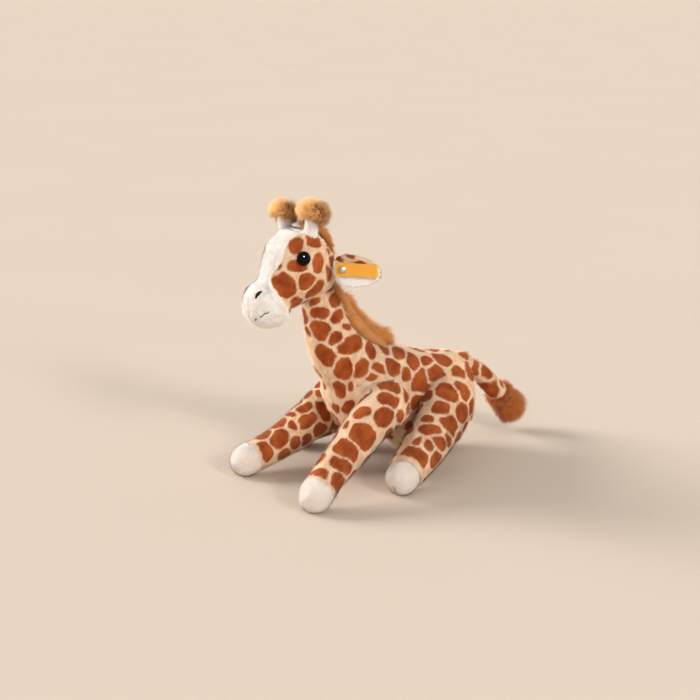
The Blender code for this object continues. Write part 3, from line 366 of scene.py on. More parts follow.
LEG_SPOTS = {
    "front_leg_left": FRONT_LEFT_SPOTS,
    "front_leg_right": FRONT_RIGHT_SPOTS,
    "rear_leg_left": REAR_LEFT_SPOTS,
}
TAIL_SPOTS = (
    (486.5, 371.6, 10.4, 4.6, 40), (487.0, 390.4, 11.2, 6.8, 45), (501.0, 383.0, 4.2, 3.4, 30),
    (469.4, 371.0, 8.6, 7.0, 60),
)
# The spotted cloth of the head: white face in front of it, then the jaw, the back and the mane's edge
SPOTTED_OUTLINE = (
    (318.0, 234.0), (309.5, 234.6), (301.5, 232.8), (290.0, 239.5), (286.2, 246.2), (284.3, 252.0),
    (281.4, 261.5), (278.1, 267.3), (272.8, 273.0), (270.7, 278.7), (270.9, 284.5), (274.7, 291.2),
    (280.5, 297.9), (286.2, 306.5), (288.1, 313.2), (291.0, 340.0), (420.0, 340.0), (420.0, 234.0),
)
# Creases: pixels along each, depth and half width
LEG_CREASES = {
    "rear_leg_left": (
        (((418, 437), (430, 437), (443, 433), (457, 432)), 1.1 * MM, 1.7 * MM),
        (((414, 448), (427, 451), (440, 450), (449, 445)), 0.9 * MM, 1.6 * MM),
        (((424, 404), (432, 399), (440, 398)), 0.9 * MM, 2.0 * MM),
    ),
    "front_leg_left": (
        (((357, 390), (366, 389), (376, 394)), 0.9 * MM, 1.8 * MM),
        (((399, 388), (395, 396), (396, 407)), 0.9 * MM, 1.8 * MM),
        (((346, 441), (356, 450), (366, 452)), 0.7 * MM, 2.0 * MM),
    ),
    "front_leg_right": (
        (((300, 401), (306, 411), (318, 418)), 0.9 * MM, 2.0 * MM),
        (((276, 446), (290, 436), (300, 431)), 0.6 * MM, 2.0 * MM),
    ),
}
BODY_CREASES = (
    (((308, 320), (316.5, 343), (325, 361), (321, 385)), 0.7 * MM, 1.6 * MM),
    (((355.5, 384), (364, 377.5), (377, 372), (388, 373), (399, 379), (408, 391)), 0.6 * MM, 2.2 * MM),
    (((428, 392), (437, 383), (449, 379), (462, 382)), 0.5 * MM, 2.2 * MM),
)
HEAD_CREASES = (
    (((300, 232.8), (309, 235), (317.5, 235.6)), 0.9 * MM, 1.3 * MM),
    (((285, 252), (290, 254.2), (297, 253.6)), 0.9 * MM, 1.4 * MM),
    (((290, 239.5), (284.3, 252), (278.1, 267.3), (270.7, 278.7), (274.7, 291.2), (286.2, 306.5)),
     0.7 * MM, 1.4 * MM),
)
# Where the long pile of the mane roots on the neck
MANE_OUTLINE = (
    (329, 281), (336, 284), (342, 291), (355, 305), (362, 312), (382, 322), (391, 333), (392, 343),
    (386, 346), (378, 345.5), (366, 340), (355, 332), (348, 323), (343, 312), (340, 303), (334, 294),
)
# Threads of the face: a leaf of stitches for the nostril, then the dashes of the mouth
NOSTRIL = ((256.2, 298.4), (258.7, 295.3), (261.6, 292.0))
NOSTRIL_THREADS = 5
NOSTRIL_WIDTH = 1.5 * MM
NOSTRIL_FAN_SHARE = 0.25
THREAD_STEP = 0.35 * MM
THREAD_END = 0.4 * MM
THREAD_SIDES = 8
THREAD_CLEAR = 0.9 * MM
FAR_SIDE_SHARE = 1.45
FAR_SIDE_BACK = 5.0 * MM
FAR_FACE_WIDER = 3.0 * MM
THREAD_STANDS = 2.0 * MM
FAR_THREAD_STANDS = 0.8 * MM
NOSTRIL_HALF = 0.52 * MM
MOUTH_HALF = 0.30 * MM
MOUTH = (
    ((255.6, 318.7), (257.2, 318.2)),
    ((260.4, 316.3), (262.6, 315.0), (264.6, 313.4)),
    ((265.4, 312.9), (268.8, 311.5)),
)
EAR_SPOTS = (
    (333.4, 261.8, 6.6, 5.0, -35), (350.6, 256.4, 5.0, 2.2, 22), (344.8, 263.0, 2.6, 1.6, 10),
)
# Ripples: how many waves, and how their sizes spread
RIPPLE_WAVES = 7
RIPPLE_SPREAD = (0.7, 1.5)
# How far a pixel that misses a surface may be pulled to its middle, in how many tries
SEEK_SHARE = 0.5
SEEK_TRIES = 26
# How squarely a place has to face the camera to count as seen, and as well seen
SEEN = 0.12
WELL_SEEN = 0.36
# On a slope a patch is drawn out no more than where the cloth faces the camera this squarely, nor
# beyond this many times its size
SLOPE_LEAST = 0.2
LONGEST_SHARE = 1.7


def lerp(low, high, share):
    """A value between two others."""
    return low + (high - low) * share


def unit(vectors):
    """Vectors of length 1."""
    length = np.linalg.norm(vectors, axis=-1, keepdims=True)
    return vectors / np.maximum(length, NEARLY_ZERO)


def smooth_step(low, high, values):
    """0 below low, 1 above high and smooth between."""
    share = np.clip((values - low) / (high - low), 0.0, 1.0)
    return share * share * (3 - 2 * share)


def table_value(table, share):
    """The second column of a table, read at a share in its first."""
    rows = np.array(table)
    return np.interp(share, rows[:, 0], rows[:, 1])


def ripples(points, size, seed):
    """A smooth wandering vector at each point, from sine waves of about one size."""
    draw = np.random.default_rng(seed)
    total = np.zeros((len(points), 3))
    for _ in range(RIPPLE_WAVES):
        wave = unit(draw.normal(size=3)) * draw.uniform(*RIPPLE_SPREAD) * 2 * math.pi / size
        push = unit(draw.normal(size=3))
        total += np.outer(np.sin(points @ wave + draw.uniform(0, 2 * math.pi)), push)
    return total / math.sqrt(RIPPLE_WAVES)


# The camera's directions
SIN_A, COS_A = math.sin(CAMERA_AZIMUTH), math.cos(CAMERA_AZIMUTH)
SIN_E, COS_E = math.sin(CAMERA_ELEVATION), math.cos(CAMERA_ELEVATION)
CAMERA_BACK = np.array((SIN_A * COS_E, -COS_A * COS_E, SIN_E))
CAMERA_RIGHT = np.array((COS_A, SIN_A, 0.0))
CAMERA_UP = np.cross(CAMERA_BACK, CAMERA_RIGHT)
CAMERA_PLACE = CAMERA_TARGET + CAMERA_BACK * CAMERA_DISTANCE


def pixel_ray(u, v):
    """The direction from the camera through a pixel of the photograph."""
    middle = PHOTO_PIXELS / 2
    aim = CAMERA_RIGHT * (u - middle) * PIXEL + CAMERA_UP * (middle - v) * PIXEL
    return unit(aim - CAMERA_BACK * CAMERA_DISTANCE)


def pixels_of(points):
    """The photograph's pixels at which points lie."""
    away = points - CAMERA_PLACE
    depth = -(away @ CAMERA_BACK)
    scale = CAMERA_DISTANCE / depth / PIXEL
    middle = PHOTO_PIXELS / 2
    return np.stack((middle + away @ CAMERA_RIGHT * scale, middle - away @ CAMERA_UP * scale), 1)


class Skin:
    """A closed surface of triangles, with its normals and a tree to search it."""

    def __init__(self, points, faces):
        self.points = points
        self.faces = faces
        self.normals = corner_normals(points, faces)
        self.tree = BVHTree.FromPolygons(points.tolist(), faces.tolist())

    def seen_at(self, u, v):
        """Where a pixel's ray meets the surface, pulled inward until it does."""
        middle = pixels_of(self.points).mean(0)
        for share in np.linspace(0, SEEK_SHARE, SEEK_TRIES):
            ray = pixel_ray(lerp(u, middle[0], share), lerp(v, middle[1], share))
            place, _, face, _ = self.tree.ray_cast(Vector(CAMERA_PLACE), Vector(ray))
            if place is not None:
                smooth = unit(self.normals[self.faces[face]].mean(0))
                return np.array(place), smooth
        raise ValueError(f"pixel {u}, {v} misses the surface")

    def nearest(self, point):
        """The surface's nearest place to a point, and its normal there."""
        place, _, face, _ = self.tree.find_nearest(Vector(point))
        return np.array(place), unit(self.normals[self.faces[face]].mean(0))


def corner_normals(points, faces):
    """Smooth normals of a triangle surface."""
    a, b, c = (points[faces[:, i]] for i in range(3))
    flat = np.cross(b - a, c - a)
    total = np.zeros_like(points)
    for i in range(3):
        for axis in range(3):
            total[:, axis] += np.bincount(faces[:, i], flat[:, axis], len(points))
    return unit(total)


def relaxed(points, faces, rounds):
    """The surface with its facets smoothed away and its size kept."""
    pairs = np.concatenate((faces[:, (0, 1)], faces[:, (1, 2)], faces[:, (2, 0)]))
    pairs = np.concatenate((pairs, pairs[:, ::-1]))
    count = np.bincount(pairs[:, 0], minlength=len(points))
    for _ in range(rounds):
        for factor in SHRINK_AND_SWELL:
            mean = np.stack([np.bincount(pairs[:, 0], points[pairs[:, 1], axis], len(points))
                             for axis in range(3)], 1) / count[:, None]
            points = lerp(points, mean, factor)
    return points


def resampled(route, step):
    """Places at even steps along a route."""
    travel = np.concatenate(((0,), np.cumsum(np.linalg.norm(np.diff(route, axis=0), axis=1))))
    marks = np.linspace(0, travel[-1], max(int(travel[-1] / step), 2))
    return np.stack([np.interp(marks, travel, route[:, axis]) for axis in range(3)], 1)


def mirrored(points):
    """The same places on the other side of the middle plane."""
    return points * np.array((-1, 1, 1))


def nearest_gap(points, places):
    """How far each point is from the nearest of some places."""
    return np.min([np.linalg.norm(points - place, axis=1) for place in places], axis=0)


def pressed(skin, creases):
    """The skin with creases on both sides, along lines that the photograph shows."""
    points = skin.points
    for pixels, depth, width in creases:
        route = resampled(np.array([skin.seen_at(u, v)[0] for u, v in pixels]), MM)
        route = np.concatenate((route, mirrored(route)))
        fall = np.exp(-(nearest_gap(points, route) / width) ** 2)
        points = points - skin.normals * (depth * fall)[:, None]
    return Skin(points, skin.faces)


def outer_island(points, faces):
    """Only the connected surface that reaches furthest."""
    label = np.arange(len(points))
    while True:
        low = label[faces].min(1)
        fresh = label.copy()
        np.minimum.at(fresh, faces.ravel(), np.repeat(low, 3))
        fresh = fresh[fresh]
        if (fresh == label).all():
            break
        label = fresh
    names = np.unique(label)
    spans = [np.ptp(points[label == name], axis=0).sum() for name in names]
    kept = label == names[int(np.argmax(spans))]
    order = np.cumsum(kept) - 1
    return points[kept], order[faces[kept[faces[:, 0]]]]


def mesh_from(bm, name):
    """The mesh of an edited form, which ends there."""
    mesh = bpy.data.meshes.new(name)
    bm.to_mesh(mesh)
    bm.free()
    return mesh


def object_of(name, data):
    """A new object in the scene."""
    item = bpy.data.objects.new(name, data)
    bpy.context.scene.collection.objects.link(item)
    return item


def node_form(node, grow=0.0):
    """A node's solid as a mesh with shared corners, swollen by a little."""
    bm = bmesh.new()
    bm.from_mesh(frame["nodes"][node].data)
    bmesh.ops.remove_doubles(bm, verts=bm.verts, dist=SAME_CORNER)
    bmesh.ops.recalc_face_normals(bm, faces=bm.faces)
    bm.normal_update()
    moves = [(vertex, vertex.normal * grow) for vertex in bm.verts]
    for vertex, move in moves:
        vertex.co += move
    return mesh_from(bm, node + "_form")


def ball_form(centre, radius):
    """A plain ball, used to fill a socket."""
    bm = bmesh.new()
    bmesh.ops.create_icosphere(bm, subdivisions=BALL_ROUNDS, radius=radius)
    bmesh.ops.translate(bm, verts=bm.verts, vec=Vector(centre))
    return mesh_from(bm, "ball_form")


def arrays_of(mesh):
    """A mesh's points and triangles."""
    points = np.empty(len(mesh.vertices) * 3)
    mesh.vertices.foreach_get("co", points)
    mesh.calc_loop_triangles()
    faces = np.empty(len(mesh.loop_triangles) * 3, int)
    mesh.loop_triangles.foreach_get("vertices", faces)
    return points.reshape(-1, 3), faces.reshape(-1, 3)


def fused(forms, voxel, rounds, grow=0.0):
    """One smooth skin round several closed forms."""
    bm = bmesh.new()
    for form in forms:
        bm.from_mesh(form)
        bpy.data.meshes.remove(form)
    mesh = mesh_from(bm, "fused")
    item = object_of("fused", mesh)
    remesh = item.modifiers.new("fuse", "REMESH")
    remesh.mode = "VOXEL"
    remesh.voxel_size = voxel
    graph = bpy.context.evaluated_depsgraph_get()
    made = bpy.data.meshes.new_from_object(item.evaluated_get(graph))
    points, faces = outer_island(*arrays_of(made))
    bpy.data.objects.remove(item)
    bpy.data.meshes.remove(mesh)
    bpy.data.meshes.remove(made)
    points = relaxed(points, faces, rounds)
    points += corner_normals(points, faces) * grow
    return Skin(points, faces)


def swept(centres, sides, across, up, count):
    """A closed tube through centres, with a half width and half height at each."""
    angles = np.linspace(0, 2 * math.pi, count, endpoint=False)
    ring = (np.cos(angles)[None, :, None] * (across * sides[:, :1])[:, None]
            + np.sin(angles)[None, :, None] * (up * sides[:, 1:])[:, None])
    rows = centres[:, None] + ring
    points = np.concatenate((rows.reshape(-1, 3), centres[:1], centres[-1:]))
    faces = []
    for row in range(len(centres) - 1):
        for side in range(count):
            a = row * count + side
            b = row * count + (side + 1) % count
            faces.append((a, b, b + count))
            faces.append((a, b + count, a + count))
    first, last = len(points) - 2, len(points) - 1
    end = (len(centres) - 1) * count
    for side in range(count):
        faces.append((first, (side + 1) % count, side))
        faces.append((last, end + side, end + (side + 1) % count))
    return points, np.array(faces)


def facing_out(points, faces):
    """The same triangles, turned so that the surface faces out."""
    a, b, c = (points[faces[:, i]] for i in range(3))
    if (np.cross(a, b) * c).sum() < 0:
        return faces[:, ::-1]
    return faces


class Spots:
    """Brown patches on a skin: each a rounded plate that lies on the surface."""

    POWER = 2.5
    DEPTH = 14 * MM
    LINE = 1.5 * MM
    TRIES = 4000
    APART_SHARE = 0.92
    LINE_SHARE = 0.6
    STRETCH_SHARES = (0.84, 1.2)
    EDGE_WAVES = ((9 * MM, 5, 0.7 * MM), (3 * MM, 6, 0.2 * MM))

    def __init__(self, limit=None):
        self.rows = []
        self.limit = limit

    def add(self, centre, normal, along, half_along, half_across):
        """One patch, by its middle, its direction and its half sizes."""
        across = np.cross(normal, along)
        self.rows.append((centre, along, across, normal, half_along, half_across))

    def add_seen(self, skin, table):
        """The patches that the photograph shows, laid on the skin."""
        for u, v, half_long, half_wide, tilt in table:
            centre, normal = skin.seen_at(u, v)
            depth = np.dot(CAMERA_PLACE - centre, CAMERA_BACK)
            scale = PIXEL * depth / CAMERA_DISTANCE
            turn = math.radians(tilt)
            aim = CAMERA_RIGHT * math.cos(turn) - CAMERA_UP * math.sin(turn)
            side = CAMERA_RIGHT * math.sin(turn) + CAMERA_UP * math.cos(turn)
            aim, long_by = laid_down(aim, normal)
            side, wide_by = laid_down(side, normal)
            self.add(centre, normal, aim, half_long * scale * long_by, half_wide * scale * wide_by)

    def fill(self, skin, sizes, keep_out, seed):
        """Patches at chance places where none is yet, other than the places that keep_out names."""
        draw = np.random.default_rng(seed)
        picks = draw.integers(0, len(skin.points), self.TRIES)
        places = skin.points[picks]
        open_here = ~keep_out(places, skin.normals[picks])
        for place, normal in zip(places[open_here], skin.normals[picks][open_here]):
            half = draw.uniform(*sizes)
            if self.rows:
                gaps = [np.linalg.norm(place - row[0]) - (row[4] + row[5]) / 2 for row in self.rows]
                if min(gaps) < half * self.APART_SHARE + self.LINE * self.LINE_SHARE:
                    continue
            along = unit(np.cross(normal, draw.normal(size=3)))
            stretch = draw.uniform(*self.STRETCH_SHARES)
            self.add(place, normal, along, half * stretch, half / stretch)

    def edge(self, points):
        """How far inside a patch each point lies, below 0 outside."""
        first, second = (ripples(points, size, seed) * push for size, seed, push in self.EDGE_WAVES)
        points = points + first + second
        centre, along, across, normal = (np.array([row[i] for row in self.rows]) for i in range(4))
        half_along = np.array([row[4] for row in self.rows])
        half_across = np.array([row[5] for row in self.rows])
        sizes = ((along, half_along), (across, half_across), (normal, self.DEPTH))
        total = 0
        for direction, half in sizes:
            away = np.abs(points @ direction.T - (centre * direction).sum(1)) / half
            total = total + away ** self.POWER
        inside = (1 - total ** (1 / self.POWER)) * np.minimum(half_along, half_across)
        ranked = np.partition(inside, -2, axis=1)
        best, second = ranked[:, -1], ranked[:, -2]
        depth = np.minimum(best, (best - second) / 2 - self.LINE / 2)
        return depth if self.limit is None else np.minimum(depth, self.limit(points))


def laid_down(aim, normal):
    """A direction in the picture, laid on a surface, and how much longer it is there."""
    slide = -np.dot(aim, normal) / max(np.dot(CAMERA_BACK, normal), SLOPE_LEAST)
    laid = aim + CAMERA_BACK * slide
    return unit(laid - normal * np.dot(laid, normal)), min(np.linalg.norm(laid), LONGEST_SHARE)


def in_view(points, normals):
    """Which places face the camera, so that the photograph shows them."""
    return normals @ CAMERA_BACK > SEEN


def well_in_view(points, normals):
    """Which places face the camera so squarely that the tables hold every patch there."""
    return normals @ CAMERA_BACK > WELL_SEEN


def nowhere(points, normals):
    """No place at all."""
    return np.zeros(len(points), bool)


def everywhere(points, normals):
    """Every place."""
    return np.ones(len(points), bool)


def steady(direction):
    """A nap that runs one way everywhere."""
    return lambda points, normals: np.tile(direction, (len(points), 1))


# Objects and their attributes


def new_piece(name, points, faces, material, body):
    """A mesh piece that rides on a body, in the slot of its material."""
    mesh = bpy.data.meshes.new(name)
    mesh.vertices.add(len(points))
    mesh.vertices.foreach_set("co", np.asarray(points, np.float32).ravel())
    mesh.loops.add(faces.size)
    mesh.loops.foreach_set("vertex_index", np.asarray(faces, np.int32).ravel())
    mesh.polygons.add(len(faces))
    width = faces.shape[1]
    mesh.polygons.foreach_set("loop_start", np.arange(0, faces.size, width, dtype=np.int32))
    mesh.update(calc_edges=True)
    mesh.shade_smooth()
    mesh.materials.append(material)
    item = object_of(name, mesh)
    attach(item, body)
    return item


def write_values(item, name, values):
    """A number at each point of a piece, for its material to read."""
    made = item.data.attributes.new(name, "FLOAT", "POINT")
    made.data.foreach_set("value", np.asarray(values, np.float32))


@dataclass
class Pile:
    """How one kind of pile grows: its sizes, how far it leans in degrees, how it clumps and bends."""

    length: float
    width: float
    per_mm2: float
    lean: float
    clump: float = 0.0
    clump_size: float = 4 * MM
    wild: float = 0.22
    segments: int = 1
    bend: float = 0.0
    vary: float = 0.25


COAT = Pile(2.7 * MM, 0.46 * MM, 1.8, 68, clump=0.10, wild=0.11)
FACE = Pile(2.7 * MM, 0.46 * MM, 2.0, 66, clump=0.10, wild=0.11)
HOOF = Pile(1.3 * MM, 0.34 * MM, 2.0, 45, wild=0.3)
TAIL_COAT = Pile(2.4 * MM, 0.46 * MM, 2.2, 64, clump=0.1, wild=0.12)
EAR_COAT = Pile(1.9 * MM, 0.38 * MM, 2.2, 66, clump=0.1, wild=0.12)
EAR_LINING = Pile(1.4 * MM, 0.36 * MM, 2.4, 68, wild=0.12)
STALK = Pile(1.6 * MM, 0.36 * MM, 2.4, 52, wild=0.2)
FLUFF = Pile(4.8 * MM, 0.36 * MM, 4.6, 26, 0.45, 3.2 * MM, 0.2, segments=2, bend=0.35, vary=0.15)
MANE_SIDE = Pile(6.4 * MM, 0.36 * MM, 3.4, 52, 0.5, 3.6 * MM, 0.14, segments=2, bend=0.2, vary=0.2)
MANE = Pile(6.4 * MM, 0.36 * MM, 4.0, 34, 0.55, 3.6 * MM, 0.18, segments=2, bend=0.5, vary=0.2)
CROWN = Pile(4.6 * MM, 0.36 * MM, 4.4, 50, 0.45, 3.2 * MM, 0.16, segments=2, bend=0.3, vary=0.2)
TUFT = Pile(8.0 * MM, 0.36 * MM, 4.2, 52, 0.5, 4.2 * MM, 0.14, segments=3, bend=0.15, vary=0.18)


def scattered(skin, per_mm2, seed, keep):
    """Chance places on a skin with their normals, as many as its area asks for, and what drew them."""
    draw = np.random.default_rng(seed)
    a, b, c = (skin.points[skin.faces[:, i]] for i in range(3))
    area = np.linalg.norm(np.cross(b - a, c - a), axis=1) / 2
    count = int(area.sum() / MM ** 2 * per_mm2)
    chosen = np.searchsorted(np.cumsum(area) / area.sum(), draw.random(count))
    chosen = np.minimum(chosen, len(area) - 1)
    r, s = np.sqrt(draw.random(count)), draw.random(count)
    weights = np.stack((1 - r, r * (1 - s), r * s), 1)
    corners = skin.faces[chosen]
    places = (skin.points[corners] * weights[:, :, None]).sum(1)
    normals = unit((skin.normals[corners] * weights[:, :, None]).sum(1))
    kept = keep(places, normals)
    return places[kept], normals[kept], draw


def clump_pull(places, size, seed):
    """From each place to the middle of the clump that it belongs to."""
    wandered = places + ripples(places, size * CLUMP_WAVES, seed) * size * CLUMP_WANDER
    cells = np.floor(wandered / size).astype(int)
    _, group = np.unique(cells, axis=0, return_inverse=True)
    group = group.ravel()
    count = np.bincount(group)
    middle = np.stack([np.bincount(group, places[:, axis]) for axis in range(3)], 1) / count[:, None]
    return middle[group] - places


def strand_pattern(segments):
    """The triangles of one strand of three-cornered rings, and which of them face the skin."""
    pattern = [(0, 2, 1)]
    inner = [True]
    for step in range(segments - 1):
        a = step * 3
        for corner in range(3):
            b = (corner + 1) % 3
            pattern.append((a + corner, a + b, a + 3 + b))
            pattern.append((a + corner, a + 3 + b, a + 3 + corner))
            inner += [corner == 0, corner == 0]
    last = (segments - 1) * 3
    for corner in range(3):
        pattern.append((last + corner, last + (corner + 1) % 3, segments * 3))
        inner.append(corner == 0)
    return np.array(pattern), np.array(inner)


def strand_starts(places, normals, flow, pile, draw, seed):
    """The direction in which each strand leaves the skin."""
    wander = ripples(places, LONG_WAVE, seed) * LONG_WANDER
    wander = wander + ripples(places, SHORT_WAVE, seed + 1) * SHORT_WANDER
    stray = draw.normal(size=normals.shape) * pile.wild
    lean = math.radians(pile.lean)
    start = unit(normals * math.cos(lean) + flow * math.sin(lean) + stray + wander)
    low = (start * normals).sum(1)
    return unit(start + normals * np.maximum(LEAST_RISE - low, 0)[:, None])


def strand_points(places, normals, flow, start, side, reach, pile, seed):
    """The corners of each strand: three at each ring, then its tip."""
    ridge = np.cross(side, start)
    sweep = flow * pile.bend
    pull = clump_pull(places, pile.clump_size, seed) * pile.clump
    rings = []
    for step in range(pile.segments):
        share = step / pile.segments
        centre = (places - normals * STRAND_SINKS + start * (reach * share)[:, None]
                  + sweep * (reach * share * share)[:, None] + pull * share)
        half = pile.width / 2 * (1 - share * THINNER_SHARE)
        rings += [centre + corner * half for corner in (side, -side, ridge * RIDGE_SHARE)]
    rings.append(places + start * reach[:, None] + sweep * reach[:, None] + pull)
    points = np.stack(rings, 1)
    points[:, :, 2] = np.maximum(points[:, :, 2], LOWEST_STRAND)
    return points


def strand_tones(places, draw, seed):
    """How pale each strand is, below 0 for the dark ones."""
    patch_share, tuft_share, strand_share = TONE_SHARES
    cloud = ripples(places, TONE_PATCH, seed + 2)[:, 0] * patch_share
    cloud = cloud + ripples(places, TONE_TUFT, seed + 3)[:, 0] * tuft_share
    return draw.uniform(-1, 1, len(places)) * strand_share + cloud


def lay_light(item, pile, normals, start, side, inner, draw):
    """The normals that light falls on: the skin's, with a share of each strand's own."""
    grain = draw.normal(size=normals.shape) * GRAIN
    if pile.segments > 1:
        skin_share, own_share = LONG_LIGHT_SHARES
        soft = under = unit(normals * skin_share + start * own_share + grain)
    else:
        skin_share, own_share = COAT_LIGHT_SHARES
        ridge = unit(np.cross(side, start))
        soft = unit(normals * skin_share + ridge * own_share + grain)
        under = unit(grain - ridge)
    aims = np.where(inner[None, :, None], under[:, None], soft[:, None])
    laid = item.data.attributes.new("custom_normal", "FLOAT_VECTOR", "CORNER")
    laid.data.foreach_set("vector", np.repeat(aims.reshape(-1, 3), 3, axis=0).astype(np.float32).ravel())


def grow_pile(name, skin, pile, nap, material, body, seed, keep=everywhere, spots=None, length=None):
    """A piece of pile: tapered strands that stand on a skin and lean along the nap."""
    places, normals, draw = scattered(skin, pile.per_mm2, seed, keep)
    count = len(places)
    flow = nap(places, normals)
    flow = unit(flow - normals * (flow * normals).sum(1)[:, None])
    start = strand_starts(places, normals, flow, pile, draw, seed)
    reach = pile.length * (1 + draw.uniform(-pile.vary, pile.vary, count))
    if length is not None:
        reach = reach * length(places, normals)
    side = unit(np.cross(start, normals) + draw.normal(size=(count, 3)) * TWIST)
    points = strand_points(places, normals, flow, start, side, reach, pile, seed)
    per = points.shape[1]
    pattern, inner = strand_pattern(pile.segments)
    faces = (pattern[None] + (np.arange(count) * per)[:, None, None]).reshape(-1, 3)
    item = new_piece(name, points.reshape(-1, 3), faces, material, body)
    shares = [step / pile.segments for step in range(pile.segments) for _ in range(3)] + [1.0]
    write_values(item, "rise", np.tile(shares, count))
    write_values(item, "tone", np.repeat(strand_tones(places, draw, seed), per))
    if spots is not None:
        inside = spots.edge(places + start * (reach * SPOT_READ_SHARE)[:, None])
        inside = inside + draw.normal(size=count) * SPOT_RAGGED
        write_values(item, "spot", np.repeat(inside, per))
    lay_light(item, pile, normals, start, side, inner, draw)
    lay_map(item, count, shares, faces)


def lay_map(item, count, shares, faces):
    """A map for a baked picture: each strand has its own small field in a square grid."""
    grid = math.ceil(math.sqrt(count))
    strand = np.repeat(np.arange(count), len(shares))
    corner = np.tile(np.append(np.arange(len(shares) - 1) % 3, 1), count)
    rise = np.tile(shares, count)
    across = strand % grid + FIELD_LEFT + corner * FIELD_STEP
    up = strand // grid + FIELD_FOOT + rise * FIELD_RISE
    layer = item.data.uv_layers.new(name="OFBake")
    fields = np.stack((across, up), 1) / grid
    layer.data.foreach_set("uv", fields[faces.ravel()].astype(np.float32).ravel())


def skin_piece(name, skin, material, body, nodes, spots=None):
    """The cloth under the pile, which stands for the solids of the frame."""
    item = new_piece(name, skin.points, skin.faces, material, body)
    if spots is not None:
        write_values(item, "spot", spots.edge(skin.points))
    # The cloth is painted darker than the strands' tips, as shade under the pile
    write_values(item, "rise", np.full(len(skin.points), CLOTH_ROOT_SHADE))
    write_values(item, "tone", ripples(skin.points, CLOTH_PATCH, seed=3)[:, 0] * CLOTH_TONE)
    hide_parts(*nodes)
    return item


def add_white(item, pale):
    """White cloth on the triangles of a spotted skin that are pale."""
    item.data.materials.append(WHITE_PLUSH)
    item.data.polygons.foreach_set("material_index", pale.astype(np.int32))


# Materials

# Spans that values are read over: clouds of noise, whole shares, tones
CLOUD = (0.3, 0.7)
WHOLE = (0.0, 1.0)
TONES = (-1.0, 1.0)
# Roughness from low to high
PLUSH_ROUGH = (0.82, 0.98)
LONG_ROUGH = (0.6, 0.85)
EYE_ROUGH = (0.03, 0.09)
EYE_CLOUD = (0.3, 0.8)
RIBBON_ROUGH = (0.7, 0.45)
WEAVE_SPAN = (0.3, 1.0)
METAL_ROUGH = (0.22, 0.4)
# How fine each noise is, in waves per metre
SPOTTED_NOISE = 110
PLAIN_NOISE = 90
LONG_NOISE = 150
ROUGH_NOISE = 900
RELIEF_NOISE = 1400
EYE_NOISE = 700
THREAD_NOISE = 1500
TWINE_NOISE = 2500
METAL_NOISE = 1200
METAL_DETAIL = 4.0
WASHER_NOISE = 300
FLOOR_NOISE = 3
WEAVE_WAVES = 900
NOISE_DETAIL = 2.0
# Relief: strength and height
SPOTTED_RELIEF = (0.6, 0.4 * MM)
PLAIN_RELIEF = (0.5, 0.3 * MM)
THREAD_RELIEF = (0.5, 0.2 * MM)
RIBBON_RELIEF = (0.5, 0.1 * MM)
# How the colours vary, in shares of themselves
LONG_TONES = (0.82, 1.18)
LONG_CLOUDS = (0.92, 1.08)
THREAD_TONES = (0.6, 1.6)
WORN_SHARE = 0.8
PALE_PLASTIC_SHARE = 1.1
PALE_FLOOR_SHARE = 1.02
SPOT_SOFT = 0.35 * MM
PLUSH_SHEEN = 0.12
LONG_SHEEN = 0.2
RIBBON_SHEEN = 0.2
SHEEN_ROUGH = 0.45
CLOTH_SPECULAR = 0.05
DULL_SPECULAR = 0.1


def new_material(name, rough, metal=0.0):
    """A material with its node tree and its shader."""
    material = bpy.data.materials.new(name)
    material.use_nodes = True
    tree = material.node_tree
    shader = tree.nodes["Principled BSDF"]
    shader.inputs["Roughness"].default_value = rough
    shader.inputs["Metallic"].default_value = metal
    return material, tree, shader


def reading(tree, name):
    """A value that the mesh holds at each point."""
    node = tree.nodes.new("ShaderNodeAttribute")
    node.attribute_name = name
    return node.outputs["Fac"]


def ranged(tree, value, source, target):
    """A value moved from one span to another."""
    node = tree.nodes.new("ShaderNodeMapRange")
    tree.links.new(value, node.inputs["Value"])
    for socket, number in zip(("From Min", "From Max", "To Min", "To Max"), (*source, *target)):
        node.inputs[socket].default_value = number
    return node.outputs["Result"]


def blended(tree, share, first, second):
    """A colour between two colours or links."""
    node = tree.nodes.new("ShaderNodeMix")
    node.data_type = "RGBA"
    tree.links.new(share, node.inputs["Factor"])
    for socket, value in ((node.inputs[6], first), (node.inputs[7], second)):
        if isinstance(value, tuple):
            socket.default_value = (*value, 1.0)
        else:
            tree.links.new(value, socket)
    return node.outputs[2]


def multiplied(tree, colour, value):
    """A colour made darker or lighter by a value."""
    node = tree.nodes.new("ShaderNodeVectorMath")
    node.operation = "SCALE"
    tree.links.new(colour, node.inputs[0])
    tree.links.new(value, node.inputs["Scale"])
    return node.outputs[0]


def largest(tree, first, second):
    """The larger of two values."""
    node = tree.nodes.new("ShaderNodeMath")
    node.operation = "MAXIMUM"
    tree.links.new(first, node.inputs[0])
    tree.links.new(second, node.inputs[1])
    return node.outputs[0]


def object_place(tree, pattern):
    """A texture node that is laid over the object's own places."""
    place = tree.nodes.new("ShaderNodeTexCoord")
    node = tree.nodes.new(pattern)
    tree.links.new(place.outputs["Object"], node.inputs["Vector"])
    return node


def noise_value(tree, scale, detail=NOISE_DETAIL):
    """Cloudy noise over the object."""
    noise = object_place(tree, "ShaderNodeTexNoise")
    noise.inputs["Scale"].default_value = scale
    noise.inputs["Detail"].default_value = detail
    return noise.outputs["Fac"]


def wave_value(tree, direction):
    """Even bands across the object, for the threads of a weave."""
    wave = object_place(tree, "ShaderNodeTexWave")
    wave.bands_direction = direction
    wave.inputs["Scale"].default_value = WEAVE_WAVES
    return wave.outputs["Fac"]


def roughened(tree, shader, value, source, target):
    """Roughness that varies with a value."""
    tree.links.new(ranged(tree, value, source, target), shader.inputs["Roughness"])


